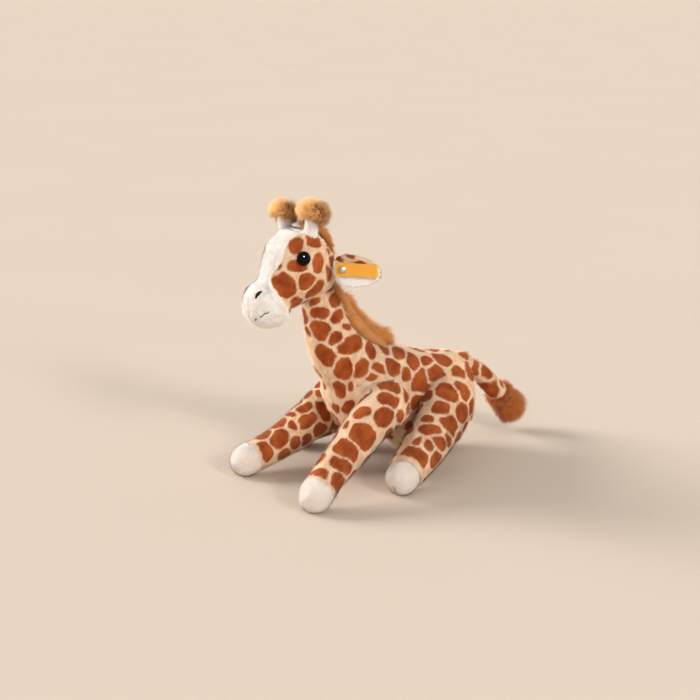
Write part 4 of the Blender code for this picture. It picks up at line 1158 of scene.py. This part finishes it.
def coloured(tree, shader, colour):
    """A colour linked to the shader."""
    tree.links.new(colour, shader.inputs["Base Color"])


def bumped(tree, shader, value, relief):
    """Relief from a value."""
    bump = tree.nodes.new("ShaderNodeBump")
    bump.inputs["Strength"].default_value, bump.inputs["Distance"].default_value = relief
    tree.links.new(value, bump.inputs["Height"])
    tree.links.new(bump.outputs["Normal"], shader.inputs["Normal"])


def velvet(shader, weight):
    """The soft bloom of pile."""
    shader.inputs["Sheen Weight"].default_value = weight
    shader.inputs["Sheen Roughness"].default_value = SHEEN_ROUGH
    shader.inputs["Specular IOR Level"].default_value = CLOTH_SPECULAR


def plush_material(name, scale, depth, relief, plain, patches=None):
    """Plush between two colours, with patches between two others, each strand a little its own, painted
    darker towards its root as shade and paler at its tip as light.
    """
    material, tree, shader = new_material(name, rough=0.9)
    share = ranged(tree, noise_value(tree, scale), CLOUD, WHOLE)
    colour = blended(tree, share, *plain)
    if patches:
        spot = ranged(tree, reading(tree, "spot"), (-SPOT_SOFT, SPOT_SOFT), WHOLE)
        colour = blended(tree, spot, colour, blended(tree, share, *patches))
    # Painted shade and light: darker towards the root, paler at the tip
    rise = ranged(tree, reading(tree, "rise"), WHOLE, (1 - depth, 1 + depth / 2))
    tone = ranged(tree, reading(tree, "tone"), TONES, (1 - depth, 1 + depth))
    coloured(tree, shader, multiplied(tree, multiplied(tree, colour, rise), tone))
    roughened(tree, shader, noise_value(tree, ROUGH_NOISE), WHOLE, PLUSH_ROUGH)
    if relief:
        bumped(tree, shader, noise_value(tree, RELIEF_NOISE), relief)
    velvet(shader, PLUSH_SHEEN)
    return material


def long_pile_material(name, deep, light):
    """Light brown long pile: painted deep at the root as shade and pale at the tip as light."""
    material, tree, shader = new_material(name, rough=0.75)
    # Painted shade at the root, painted light at the tip
    colour = blended(tree, ranged(tree, reading(tree, "rise"), WHOLE, WHOLE), deep, light)
    tone = ranged(tree, reading(tree, "tone"), TONES, LONG_TONES)
    cloud = ranged(tree, noise_value(tree, LONG_NOISE), CLOUD, LONG_CLOUDS)
    coloured(tree, shader, multiplied(tree, multiplied(tree, colour, tone), cloud))
    roughened(tree, shader, noise_value(tree, ROUGH_NOISE), WHOLE, LONG_ROUGH)
    velvet(shader, LONG_SHEEN)
    return material


def eye_material():
    """Polished black plastic."""
    material, tree, shader = new_material("eye_gloss", rough=0.06)
    roughened(tree, shader, noise_value(tree, EYE_NOISE), EYE_CLOUD, EYE_ROUGH)
    shader.inputs["Base Color"].default_value = (*EYE_BLACK, 1.0)
    shader.inputs["Specular IOR Level"].default_value = DULL_SPECULAR
    return material


def thread_material():
    """Black twisted embroidery thread."""
    material, tree, shader = new_material("thread", rough=0.8)
    shader.inputs["Specular IOR Level"].default_value = DULL_SPECULAR
    cloud = ranged(tree, noise_value(tree, THREAD_NOISE), CLOUD, THREAD_TONES)
    base = tree.nodes.new("ShaderNodeRGB")
    base.outputs[0].default_value = (*THREAD_BLACK, 1.0)
    coloured(tree, shader, multiplied(tree, base.outputs[0], cloud))
    bumped(tree, shader, noise_value(tree, TWINE_NOISE), THREAD_RELIEF)
    return material


def ribbon_material():
    """Woven yellow ribbon."""
    material, tree, shader = new_material("ribbon", rough=0.55)
    weave = largest(tree, wave_value(tree, "Z"), wave_value(tree, "X"))
    share = ranged(tree, weave, WEAVE_SPAN, WHOLE)
    coloured(tree, shader, blended(tree, share, RIBBON_DEEP, RIBBON_YELLOW))
    roughened(tree, shader, weave, WHOLE, RIBBON_ROUGH)
    bumped(tree, shader, weave, RIBBON_RELIEF)
    shader.inputs["Sheen Weight"].default_value = RIBBON_SHEEN
    return material


def metal_material():
    """Pressed metal with fine scratches."""
    material, tree, shader = new_material("rivet_metal", rough=0.3, metal=1.0)
    cloud = noise_value(tree, METAL_NOISE, METAL_DETAIL)
    worn = tuple(value * WORN_SHARE for value in STEEL)
    coloured(tree, shader, blended(tree, ranged(tree, cloud, CLOUD, WHOLE), worn, STEEL))
    roughened(tree, shader, cloud, CLOUD, METAL_ROUGH)
    return material


def washer_material():
    """Moulded plastic."""
    material, tree, shader = new_material("washer_plastic", rough=0.5)
    pale = tuple(value * PALE_PLASTIC_SHARE for value in WASHER)
    share = ranged(tree, noise_value(tree, WASHER_NOISE), CLOUD, WHOLE)
    coloured(tree, shader, blended(tree, share, WASHER, pale))
    return material


def plush_pair(name, scale, depth, relief, plain, patches=None):
    """The material of a cloth and that of the pile on it."""
    cloth = plush_material(name, scale, depth, relief, plain, patches)
    return cloth, plush_material(f"{name}_pile", scale, depth, None, plain, patches)


SPOTTED, SPOTTED_PILE = plush_pair("plush_spotted", SPOTTED_NOISE, COAT_ROOT_SHADE_AND_TONE,
                                   SPOTTED_RELIEF, (CREAM, CREAM_PALE), (BROWN_DEEP, BROWN))
WHITE_PLUSH, WHITE_PILE = plush_pair("plush_white", PLAIN_NOISE, PLAIN_ROOT_SHADE_AND_TONE,
                                     PLAIN_RELIEF, (WHITE, WHITE_PALE))
# The hooves' plush is the darker white, painted shade
SHADED_HOOF_PLUSH, SHADED_HOOF_PILE = plush_pair("plush_hoof_shaded", PLAIN_NOISE, PLAIN_ROOT_SHADE_AND_TONE,
                                   PLAIN_RELIEF, (HOOF_SHADED_WHITE, HOOF_SHADED_PALE))
# The cores under the long pile take its root colours, painted shade under the strands
BROWN_PLUSH = plush_material("plush_brown", PLAIN_NOISE, PLAIN_ROOT_SHADE_AND_TONE,
                             PLAIN_RELIEF, (MANE_SHADED_ROOT, TUFT_SHADED_ROOT))
FLUFF_PILE = long_pile_material("plush_fluff_pile", FLUFF_SHADED_ROOT, FLUFF_LIGHT)
MANE_PILE = long_pile_material("plush_mane_pile", MANE_SHADED_ROOT, MANE_LIGHT)
TUFT_PILE = long_pile_material("plush_tuft_pile", TUFT_SHADED_ROOT, TUFT_LIGHT)
EYE = eye_material()
THREAD = thread_material()
RIBBON = ribbon_material()
METAL = metal_material()
PLASTIC = washer_material()


def node_middle(node):
    """The middle of a node's box."""
    low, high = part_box(node)
    return np.array((low + high) / 2)


def joint_place(child):
    """The place of the joint that carries a body."""
    return np.array(next(j["pos_m"] for j in frame["joints"] if j["child"] == child))


# Torso and neck


def body_nap(points, normals):
    """The pile runs down the neck and back to the tail."""
    neck = smooth_step(NECK_NAP_LOW, NECK_NAP_HIGH, points[:, 2] - points[:, 1] * NECK_NAP_SLOPE)
    return np.array(BACK_NAP) * (1 - neck)[:, None] + np.array(NECK_NAP) * neck[:, None]


def make_torso():
    """The torso and the neck: one skin, and the pile on it."""
    forms = [node_form("body_cover"), node_form("neck_cover", NECK_GROWS)]
    forms += [node_form(node, STUFFING_GROWS) for node in ("body_stuffing", "neck_stuffing")]
    forms.append(ball_form(joint_place("head"), NECK_TOP_HALF))
    forms.append(ball_form(joint_place("head") + THROAT_SHIFT, THROAT_HALF))
    forms.append(ball_form(joint_place("tail") + TAIL_BASE_SHIFT, TAIL_BASE_HALF))
    for name, side, *_ in LEGS:
        half = ROOT_HALF_FRONT if name.startswith("front") else ROOT_HALF_REAR
        inward = np.array((-side * ROOT_FILL_INWARD, 0, 0))
        forms.append(ball_form(joint_place(name) + inward, half - ROOT_FILL_LESS))
    skin = pressed(fused(forms, TORSO_VOXEL, TORSO_ROUNDS, -COAT_STANDS), BODY_CREASES)
    spots = Spots()
    spots.add_seen(skin, BODY_SPOTS)
    spots.fill(skin, BODY_FILL, in_view, seed=11)
    nodes = ("body_cover", "body_stuffing", "neck_cover", "neck_stuffing")
    skin_piece("body_skin", skin, SPOTTED, "torso", nodes, spots)
    halves = (
        ("body_pile_rear", 21, lambda points, normals: points[:, 1] > TORSO_SPLIT),
        ("body_pile_front", 22, lambda points, normals: points[:, 1] <= TORSO_SPLIT),
    )
    for name, seed, keep in halves:
        grow_pile(name, skin, COAT, body_nap, SPOTTED_PILE, "torso", seed, keep, spots)

    def mane_here(points, normals):
        folded = points.copy()
        folded[:, 0] = np.abs(folded[:, 0])
        return (inside_outline(pixels_of(folded), MANE_OUTLINE) > 0) & (points[:, 1] > MANE_FRONT)

    grow_pile("mane_side_pile", skin, MANE_SIDE, steady(SIDE_NAP), MANE_PILE, "torso", seed=23,
              keep=mane_here)


# Head


def inside_outline(pixels, outline):
    """How far each pixel lies inside a closed outline, below 0 outside."""
    corners = np.array(outline, float)
    inside = np.zeros(len(pixels), bool)
    nearest = np.full(len(pixels), np.inf)
    for first, second in zip(corners, np.roll(corners, -1, axis=0)):
        step = second - first
        share = np.clip((pixels - first) @ step / (step @ step), 0, 1)
        nearest = np.minimum(nearest, np.linalg.norm(pixels - first - share[:, None] * step, axis=1))
        level = (first[1] > pixels[:, 1]) != (second[1] > pixels[:, 1])
        rise = step[1] if step[1] else 1.0
        cross = first[0] + (pixels[:, 1] - first[1]) * step[0] / rise
        inside ^= level & (pixels[:, 0] < cross)
    return np.where(inside, nearest, -nearest)


def white_share(points):
    """How far each place of the head lies inside the white of the face, in metres."""
    folded = points.copy()
    folded[:, 0] = np.where(points[:, 0] < 0, -points[:, 0] - FAR_FACE_WIDER, points[:, 0])
    return -inside_outline(pixels_of(folded), SPOTTED_OUTLINE) * PIXEL


def swollen(skin, place, height, half, power):
    """The skin raised round a place by a height that falls off with the distance."""
    gap = np.linalg.norm(skin.points - place, axis=1)
    rise = height * np.exp(-(gap / half) ** power)
    return Skin(skin.points + skin.normals * rise[:, None], skin.faces)


def make_head():
    """The head: skin, spotted pile, white pile and threads. Returns the eyes' places."""
    forms = [node_form(node, FORM_GROWS) for node in ("head_cover", "face_blaze", "muzzle")]
    forms += [node_form("head_stuffing", STUFFING_GROWS), ball_form(joint_place("head"), NECK_SOCKET_HALF)]
    forms += [ball_form(node_middle(f"eye_washer_{side}"), EYE_BED_HALF) for side in ("left", "right")]
    skin = pressed(fused(forms, HEAD_VOXEL, HEAD_ROUNDS, -COAT_STANDS - FORM_GROWS), HEAD_CREASES)
    eyes = [eye_place(skin, side) for side in ("left", "right")]
    brow = skin.seen_at(*BROW)[0]
    for place in (brow, mirrored(brow)):
        skin = swollen(skin, place, BROW_STANDS, BROW_HALF, 2)
    for centre, _ in eyes:
        skin = swollen(skin, centre, -EYE_DIMPLE, EYE_DIMPLE_HALF, 4)
    spots = Spots()
    spots.add_seen(skin, HEAD_SPOTS)
    spots.fill(skin, HEAD_FILL, in_view, seed=12)
    nodes = ("head_cover", "head_stuffing", "face_blaze", "muzzle")
    item = skin_piece("head_skin", skin, SPOTTED, "head", nodes, spots)
    add_white(item, white_share(skin.points)[skin.faces].mean(1) > 0)
    stitches = face_stitches(skin)

    def clear(points):
        eye_gap = nearest_gap(points, [centre for centre, _ in eyes])
        thread_gap = nearest_gap(points, [place for route in stitches for place in route])
        return (eye_gap > EYE_HALF - EYE_OVERLAP) & (thread_gap > THREAD_CLEAR)

    def spotted(points, normals):
        return (white_share(points) <= 0) & clear(points)

    def pale_here(points, normals):
        return (white_share(points) > 0) & clear(points)

    grow_pile("head_pile", skin, COAT, steady(HEAD_NAP), SPOTTED_PILE, "head", seed=31, keep=spotted,
              spots=spots)
    grow_pile("face_pile", skin, FACE, face_nap, WHITE_PILE, "head", seed=32, keep=pale_here)
    for number, route in enumerate(stitches):
        half = NOSTRIL_HALF if number < NOSTRIL_THREADS * 2 else MOUTH_HALF
        stands = FAR_THREAD_STANDS if number % 2 else THREAD_STANDS
        make_thread(f"face_thread_{number}", skin, route, half, stands, "head")
    return eyes


def face_nap(points, normals):
    """The white pile runs down the face, round the muzzle and under the chin."""
    down = smooth_step(CHIN_NAP_TOP, CHIN_NAP_FULL, points[:, 2])
    return lerp(np.array(FACE_NAP), np.array(CHIN_NAP), down[:, None])


def face_stitches(skin):
    """The routes of the face's threads, on both sides: nostrils, then the mouth."""
    routes = []
    for number in range(NOSTRIL_THREADS):
        share = number / (NOSTRIL_THREADS - 1) - 0.5
        row = np.array([skin.seen_at(u, v)[0] for u, v in NOSTRIL])
        across = unit(np.cross(row[-1] - row[0], skin.nearest(row[1])[1]))
        row[1] += across * share * NOSTRIL_WIDTH
        row[0] += (row[1] - row[0]) * abs(share) * NOSTRIL_FAN_SHARE
        row[2] += (row[1] - row[2]) * abs(share) * NOSTRIL_FAN_SHARE
        routes.append(row)
    for dash in MOUTH:
        routes.append(np.array([skin.seen_at(u, v)[0] for u, v in dash]))
    far = np.array((FAR_SIDE_SHARE, 1, 1))
    back = np.array((0, FAR_SIDE_BACK, 0))
    return [resampled(route, THREAD_STEP) for row in routes for route in (row, mirrored(row) * far + back)]


def make_thread(name, skin, route, half, stands, body):
    """A thread that lies on the pile along a route, its ends sunk into it."""
    shares = np.linspace(0, 1, len(route))
    arch = np.sqrt(np.maximum(0, 1 - (2 * shares - 1) ** 4))
    places, normals = zip(*(skin.nearest(place) for place in route))
    centres = np.array(places) + np.array(normals) * lerp(THREAD_END, stands, arch)[:, None]
    along = unit(np.gradient(centres, axis=0))
    across = unit(np.cross(along, np.array(normals)))
    up = np.cross(across, along)
    sides = np.full((len(centres), 2), half)
    points, faces = swept(centres, sides, across, up, THREAD_SIDES)
    new_piece(name, points, facing_out(points - points.mean(0), faces), THREAD, body)


def eye_place(skin, side):
    """The middle of an eye's dome and the way that it looks."""
    low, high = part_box(f"eye_{side}")
    outer = np.array((high.x if side == "left" else low.x, (low.y + high.y) / 2, (low.z + high.z) / 2))
    place, look = skin.nearest(outer)
    return place - look * EYE_SINKS[side], look


def make_eyes(eyes):
    """Two glossy domes."""
    for side, (centre, look) in zip(("left", "right"), eyes):
        bm = bmesh.new()
        bmesh.ops.create_uvsphere(bm, u_segments=EYE_SIDES, v_segments=EYE_RINGS, radius=1)
        turn = Vector(look).to_track_quat("Z", "Y").to_matrix()
        for vertex in bm.verts:
            spot = Vector((vertex.co.x * EYE_HALF, vertex.co.y * EYE_HALF, vertex.co.z * EYE_STANDS))
            vertex.co = turn @ spot + Vector(centre)
        mesh = mesh_from(bm, f"eye_dome_{side}")
        mesh.shade_smooth()
        mesh.materials.append(EYE)
        item = object_of(f"eye_dome_{side}", mesh)
        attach(item, "head")
        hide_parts(f"eye_{side}")


# Legs and hooves


def leg_route(name, side, spread, reach, bend):
    """Places along a leg's middle, from behind its root to the end of its hoof, and its radii."""
    root = joint_place(name)
    front = name.startswith("front")
    root_half = ROOT_HALF_FRONT if front else ROOT_HALF_REAR
    shank_half = SHANK_HALF_FRONT if front else SHANK_HALF_REAR
    toe = np.array((root[0] + side * spread, root[1] - reach, HOOF_HALF - TOE_SINKS))
    chord = unit(toe - root)
    lift = unit(np.cross(chord, (1.0, 0, 0)))
    lift = lift if lift[2] > 0 else -lift
    middle = (root + toe) / 2 + lift * bend * 2
    shares = np.linspace(0, 1, ROUTE_PLACES)[:, None]
    core = lerp(lerp(root, middle, shares), lerp(middle, toe, shares), shares)
    start = core[0] + unit(core[0] - core[1]) * root_half
    end = core[-1] + unit(core[-1] - core[-2]) * HOOF_HALF
    line = np.concatenate((start[None], core, end[None]))
    travel = np.concatenate(((0,), np.cumsum(np.linalg.norm(np.diff(line, axis=0), axis=1))))
    return line, travel, root_half, shank_half


def route_at(line, travel, distance):
    """Places at distances along a route."""
    return np.stack([np.interp(distance, travel, line[:, axis]) for axis in range(3)], 1)


def tube_sides(centres):
    """Directions across and up at each centre of a tube."""
    along = unit(np.gradient(centres, axis=0))
    across = unit(np.cross(along, (0, 0, 1.0)))
    return across, np.cross(across, along)


def domed(distance, reach):
    """A round end: 0 at the very end, 1 from reach on."""
    share = np.clip(distance / reach, 0, 1)
    return np.sqrt(np.maximum(0, 1 - (1 - share) ** 2))


def leg_skin(index, name, line, travel, root_half, shank_half, seam):
    """The skin of a leg, from its round root to just inside the hoof."""
    whole = travel[-1]
    distance = whole * (0.5 - 0.5 * np.cos(np.linspace(0, math.pi, LEG_RINGS)))
    shares = FRONT_SHARES if name.startswith("front") else REAR_SHARES
    radius = shank_half + (root_half - shank_half) * table_value(shares, distance / whole) - COAT_STANDS
    cuff = np.exp(-((distance - seam) / CUFF_WIDTH) ** 2)
    half = radius * domed(distance, root_half) - cuff * CUFF_TUCK
    cut = distance <= seam + LEG_OVERLAP
    distance = distance[cut]
    half = half[cut] * np.where(distance > seam, LEG_END_SHARE, 1.0)
    skin = limb_skin(line, travel, distance, half, LEG_SIDES, seam, index)
    return pressed(skin, LEG_CREASES.get(name, ()))


def make_leg(index, name, side, spread, reach, bend):
    """One leg with its hoof."""
    line, travel, root_half, shank_half = leg_route(name, side, spread, reach, bend)
    seam = travel[-1] - HOOF_REACH
    skin = leg_skin(index, name, line, travel, root_half, shank_half, seam)

    def nearest_along(points):
        marks = np.linspace(0, travel[-1], ROUTE_MARKS)
        places = route_at(line, travel, marks)
        away = np.linalg.norm(points[:, None] - places[None], axis=2)
        return marks[np.argmin(away, axis=1)]

    cuff_length = REAR_CUFF if name.startswith("rear") else FRONT_CUFF
    spots = Spots(lambda points: seam - cuff_length - nearest_along(points))
    table = LEG_SPOTS.get(name, ())
    spots.add_seen(skin, table)
    spots.fill(skin, LEG_FILL, well_in_view if table else nowhere, seed=40 + index)
    nodes = (f"{name}_cover", f"{name}_stuffing")
    skin_piece(f"{name}_skin", skin, SPOTTED, name, nodes, spots)

    def nap(points, normals):
        along = nearest_along(points)
        ahead, behind = (route_at(line, travel, along + step) for step in (NAP_STEP, -NAP_STEP))
        stray = ripples(points, LEG_WAVE, seed=90 + index) * LEG_WANDER
        parted = lerp(-1.0, 1.0, smooth_step(*(root_half * np.array(PARTING_SHARES)), along))
        return unit(ahead - behind) * parted[:, None] + stray

    root = joint_place(name)

    def outside(points, normals):
        inner = (np.abs(points[:, 0]) < LEG_INNER) & (points[:, 1] > root[1] - root_half)
        return ~inner & (nearest_along(points) < seam - LEG_PILE_SHORT)

    grow_pile(f"{name}_pile", skin, COAT, nap, SPOTTED_PILE, name, seed=50 + index, keep=outside,
              spots=spots)
    make_hoof(index, name, line, travel, seam, nap)


def make_hoof(index, name, line, travel, seam, nap):
    """The white hoof at a leg's end."""
    hoof = name.replace("leg", "hoof")
    start = seam - HOOF_OVERLAP
    end = travel[-1] - HOOF_STANDS
    distance = np.linspace(start, end, HOOF_RINGS)
    half = (HOOF_HALF - HOOF_STANDS) * domed(end - distance, HOOF_HALF)
    half = half * lerp(HOOF_TUCK_SHARE, 1.0, smooth_step(start, seam + HOOF_TUCK_REACH, distance))
    skin = limb_skin(line, travel, distance, half, HOOF_SIDES, None, index)
    skin_piece(f"{hoof}_skin", skin, SHADED_HOOF_PLUSH, name, (hoof,))
    grow_pile(f"{hoof}_pile", skin, HOOF, nap, SHADED_HOOF_PILE, name, seed=60 + index)


def limb_skin(line, travel, distance, half, count, seam, index):
    """The skin of a limb, gathered at its seam, soft in its roundness and flat on the floor."""
    centres = route_at(line, travel, distance)
    across, up = tube_sides(centres)
    half = np.maximum(half, THINNEST_LIMB)
    points, faces = swept(centres, np.stack((half, half), 1), across, up, count)
    if seam is not None:
        ring = np.arange(len(points) - 2) % count
        row = np.arange(len(points) - 2) // count
        angle = ring / count * 2 * math.pi
        near = np.exp(-np.abs(distance[row] - seam) / PLEAT_REACH)
        pleat = np.cos(angle * PLEATS + index) * near * PLEAT_DEPTH
        outward = unit(points[:-2] - centres[row])
        points[:-2] += outward * pleat[:, None]
    faces = facing_out(points, faces)
    skin = Skin(points, faces)
    lumps = sum(ripples(points, size, seed + index)[:, 0] * height for size, seed, height in LUMPS)
    points = points + skin.normals * lumps[:, None]
    points[:, 2] = np.maximum(points[:, 2], LOWEST_SKIN)
    return Skin(points, faces)


# Tail


def make_tail():
    """The tail and its long tuft."""
    skin = fused([node_form("tail", TAIL_GROWS)], TAIL_VOXEL, TAIL_ROUNDS, -TAIL_SKIN_SINKS)
    root = joint_place("tail")
    skin = swollen(Skin(skin.points + TAIL_SHIFT, skin.faces), root, -TAIL_ROOT_SINKS, TAIL_ROOT_REACH, 4)
    spots = Spots()
    spots.add_seen(skin, TAIL_SPOTS)
    spots.fill(skin, TAIL_FILL, in_view, seed=13)
    skin_piece("tail_skin", skin, SPOTTED, "tail", ("tail",), spots)
    tuft = node_middle("tail_tuft")
    aim = unit(tuft - root)
    grow_pile("tail_pile", skin, TAIL_COAT, steady(aim), SPOTTED_PILE, "tail", seed=71, spots=spots)
    core = fused([node_form("tail_tuft", -TUFT_SUNK)], TUFT_VOXEL, SMALL_ROUNDS)
    skin_piece("tuft_core", core, BROWN_PLUSH, "tail", ("tail_tuft",))
    half = np.linalg.norm(core.points - tuft, axis=1).mean()
    source = tuft - aim * half * TUFT_SOURCE_SHARE

    def fan(points, normals):
        return points - source + np.array((0, 0, -half * TUFT_HANGS_SHARE))

    def fullness(points, normals):
        ahead = (points - tuft) @ aim / half
        return lerp(*TUFT_LENGTH_SHARES, smooth_step(*TUFT_FULL_SHARES, ahead))

    grow_pile("tuft_pile", core, TUFT, fan, TUFT_PILE, "tail", seed=72, length=fullness)


# Horns and mane


def cut_back(points, top, aim, front):
    """Places below a level, ahead of a line and near the stalk, moved back to the line."""
    below = smooth_step(*CUT_LEVELS, (points - top) @ aim)
    ahead = np.maximum((points - top) @ front - CUT_BEHIND, 0)
    beside = np.abs((points - top) @ unit(np.cross(aim, front)))
    near = smooth_step(STALK_HALF + CUT_FAR, STALK_HALF + CUT_NEAR, beside)
    return points - front * (ahead * below * near)[:, None]


def make_horn(index, side, outward):
    """A white stalk and the ball of long pile behind its top."""
    stalk_middle = node_middle(f"ossicone_stalk_{side}")
    ball_middle = node_middle(f"ossicone_tip_{side}")
    aim = unit(ball_middle - stalk_middle)
    front = unit(np.array((STALK_FACES[0] * outward, *STALK_FACES[1:])))
    top = stalk_middle + aim * STALK_REACH
    marks = np.linspace(-STALK_SINK, STALK_REACH, STALK_RINGS)
    half = STALK_HALF * lerp(STALK_FOOT_SHARE, 1.0, smooth_step(-STALK_SINK, 0.0, marks))
    half = np.maximum(half * domed(STALK_REACH - marks, STALK_DOME), THINNEST_STALK)
    across = unit(np.cross(aim, front))
    up = np.cross(across, aim)
    centres = stalk_middle + marks[:, None] * aim
    points, faces = swept(centres, np.stack((half, half), 1), across, up, STALK_SIDES)
    skin = Skin(points, facing_out(points - stalk_middle, faces))
    skin_piece(f"stalk_skin_{side}", skin, WHITE_PLUSH, "head", (f"ossicone_stalk_{side}",))
    grow_pile(f"stalk_pile_{side}", skin, STALK, steady(aim), WHITE_PILE, "head", seed=81 + index)
    core = fused([node_form(f"ossicone_tip_{side}", -HORN_SUNK)], HORN_VOXEL, SMALL_ROUNDS)
    core = Skin(cut_back(core.points, top, aim, front), core.faces)
    skin_piece(f"horn_core_{side}", core, BROWN_PLUSH, "head", (f"ossicone_tip_{side}",))

    def curl(points, normals):
        return np.cross(points - ball_middle, CURL_AXIS) - np.array((0, 0, CURL_HANGS))

    def clear(points, normals):
        gap = np.linalg.norm(np.cross(points - stalk_middle, aim), axis=1)
        seen = (points - top) @ front > -STALK_HALF
        return ~((gap < STALK_HALF + STALK_CLEAR) & seen & ((points - top) @ aim < STALK_CLEAR_TOP))

    grow_pile(f"horn_pile_{side}", core, FLUFF, curl, FLUFF_PILE, "head", seed=91 + index, keep=clear)


def make_manes():
    """The strips of long pile on the neck and the crown."""
    strips = (
        ("mane_neck", "torso", MANE, MANE_SUNK, MANE_NAP, 101),
        ("mane_crown", "head", CROWN, CROWN_SUNK, CROWN_NAP, 102),
    )
    for node, body, pile, sunk, flow, seed in strips:
        core = fused([node_form(node, -sunk)], MANE_VOXEL, MANE_ROUNDS)
        skin_piece(f"{node}_core", core, BROWN_PLUSH, body, (node,))
        grow_pile(f"{node}_pile", core, pile, steady(flow), MANE_PILE, body, seed)


# Ears and ribbon


def make_ear(index, side, outward):
    """An ear with a spotted back and rim and a white inside."""
    body = f"ear_{side}"
    skin = fused([node_form(body), node_form(f"ear_lining_{side}", LINING_GROWS)], EAR_VOXEL, SMALL_ROUNDS)
    middle = node_middle(body)
    out = unit(middle - joint_place(body))
    front = unit(np.array((EAR_FACES[0] * outward, *EAR_FACES[1:])))
    above = unit(np.cross(out, front))
    above = above if above[2] > 0 else -above

    def inner(points, normals):
        height = (points - middle) @ above + ripples(points, EAR_WAVE, seed=15)[:, 0] * EAR_EDGE_WANDER
        return (normals @ front > EAR_INNER) & (height < EAR_WHITE_TOP)

    spots = Spots()
    if side == "left":
        spots.add_seen(skin, EAR_SPOTS)
    spots.fill(skin, EAR_FILL, lambda points, normals: normals @ front > EAR_SEEN, seed=14 + index)
    nodes = (body, f"ear_lining_{side}")
    item = skin_piece(f"ear_skin_{side}", skin, SPOTTED, body, nodes, spots)
    add_white(item, inner(skin.points, skin.normals)[skin.faces].mean(1) > 0.5)
    ribbon = Skin(*arrays_of(frame["nodes"]["ear_tag"].data))

    def clear(points):
        gaps = [ribbon.tree.find_nearest(Vector(place))[3] for place in points]
        return np.array(gaps) > RIBBON_CLEAR

    def spotted(points, normals):
        return ~inner(points, normals) & clear(points)

    def pale_here(points, normals):
        return inner(points, normals) & clear(points)

    nap = steady(out)
    grow_pile(f"ear_pile_{side}", skin, EAR_COAT, nap, SPOTTED_PILE, body, seed=111 + index, keep=spotted,
              spots=spots)
    grow_pile(f"ear_lining_pile_{side}", skin, EAR_LINING, nap, WHITE_PILE, body, seed=113 + index,
              keep=pale_here)


def finish_cad(nodes, material, smooth=True):
    """A finish for solids of the frame that are shown as they are."""
    for node in nodes:
        mesh = frame["nodes"][node].data
        mesh.materials.clear()
        mesh.materials.append(material)
        if smooth:
            mesh.shade_smooth()


# Stage


def make_floor():
    """A pale floor that the toy lies on."""
    bm = bmesh.new()
    bmesh.ops.create_circle(bm, cap_ends=True, segments=FLOOR_SIDES, radius=FLOOR_RADIUS)
    mesh = mesh_from(bm, "floor")
    material, tree, shader = new_material("floor", rough=0.8)
    share = ranged(tree, noise_value(tree, FLOOR_NOISE), CLOUD, WHOLE)
    pale = tuple(value * PALE_FLOOR_SHARE for value in FLOOR)
    coloured(tree, shader, blended(tree, share, FLOOR, pale))
    shader.inputs["Specular IOR Level"].default_value = DULL_SPECULAR
    mesh.materials.append(material)
    object_of("floor", mesh)


def make_sky():
    """Soft light from all round, and a pale wall behind the toy."""
    world = bpy.context.scene.world or bpy.data.worlds.new("world")
    bpy.context.scene.world = world
    world.use_nodes = True
    tree = world.node_tree
    background = tree.nodes["Background"]
    path = tree.nodes.new("ShaderNodeLightPath")
    seen = largest(tree, path.outputs["Is Camera Ray"], path.outputs["Is Glossy Ray"])
    tree.links.new(blended(tree, seen, SKY_LIGHT, BACKDROP), background.inputs["Color"])
    background.inputs["Strength"].default_value = SKY_STRENGTH


def make_lamps():
    """The lamps of the table; only the catch light shows in the eyes."""
    for name, near, right, up, strength, spread, colour in LAMPS:
        lamp = bpy.data.lights.new(name, "SUN")
        lamp.energy = strength
        lamp.angle = math.radians(spread)
        lamp.color = colour
        item = object_of(name, lamp)
        aim = CAMERA_BACK * near + CAMERA_RIGHT * right + np.array((0, 0, up))
        item.rotation_euler = Vector(aim).to_track_quat("Z", "Y").to_euler()
        item.visible_glossy = name == "catch"
        item.visible_diffuse = name != "catch"


def make_camera():
    """The camera that took the photograph."""
    lens = bpy.data.cameras.new("camera")
    lens.sensor_width = SENSOR
    lens.lens = SENSOR * CAMERA_DISTANCE / FRAME_WIDTH
    camera = object_of("camera", lens)
    camera.location = Vector(CAMERA_PLACE)
    camera.rotation_euler = Vector(CAMERA_BACK).to_track_quat("Z", "Y").to_euler()
    bpy.context.scene.camera = camera
    bpy.context.scene.view_settings.view_transform = "Standard"


make_torso()
make_eyes(make_head())
for number, leg in enumerate(LEGS):
    make_leg(number, *leg)
make_tail()
for number, (name, outward) in enumerate((("left", 1), ("right", -1))):
    make_horn(number, name, outward)
    make_ear(number, name, outward)
make_manes()
finish_cad(("eye_washer_left", "eye_washer_right"), PLASTIC, smooth=False)
finish_cad(("ear_tag",), RIBBON)
finish_cad(("tag_rivet", "tag_rivet_back"), METAL)
make_floor()
make_sky()
make_lamps()
make_camera()
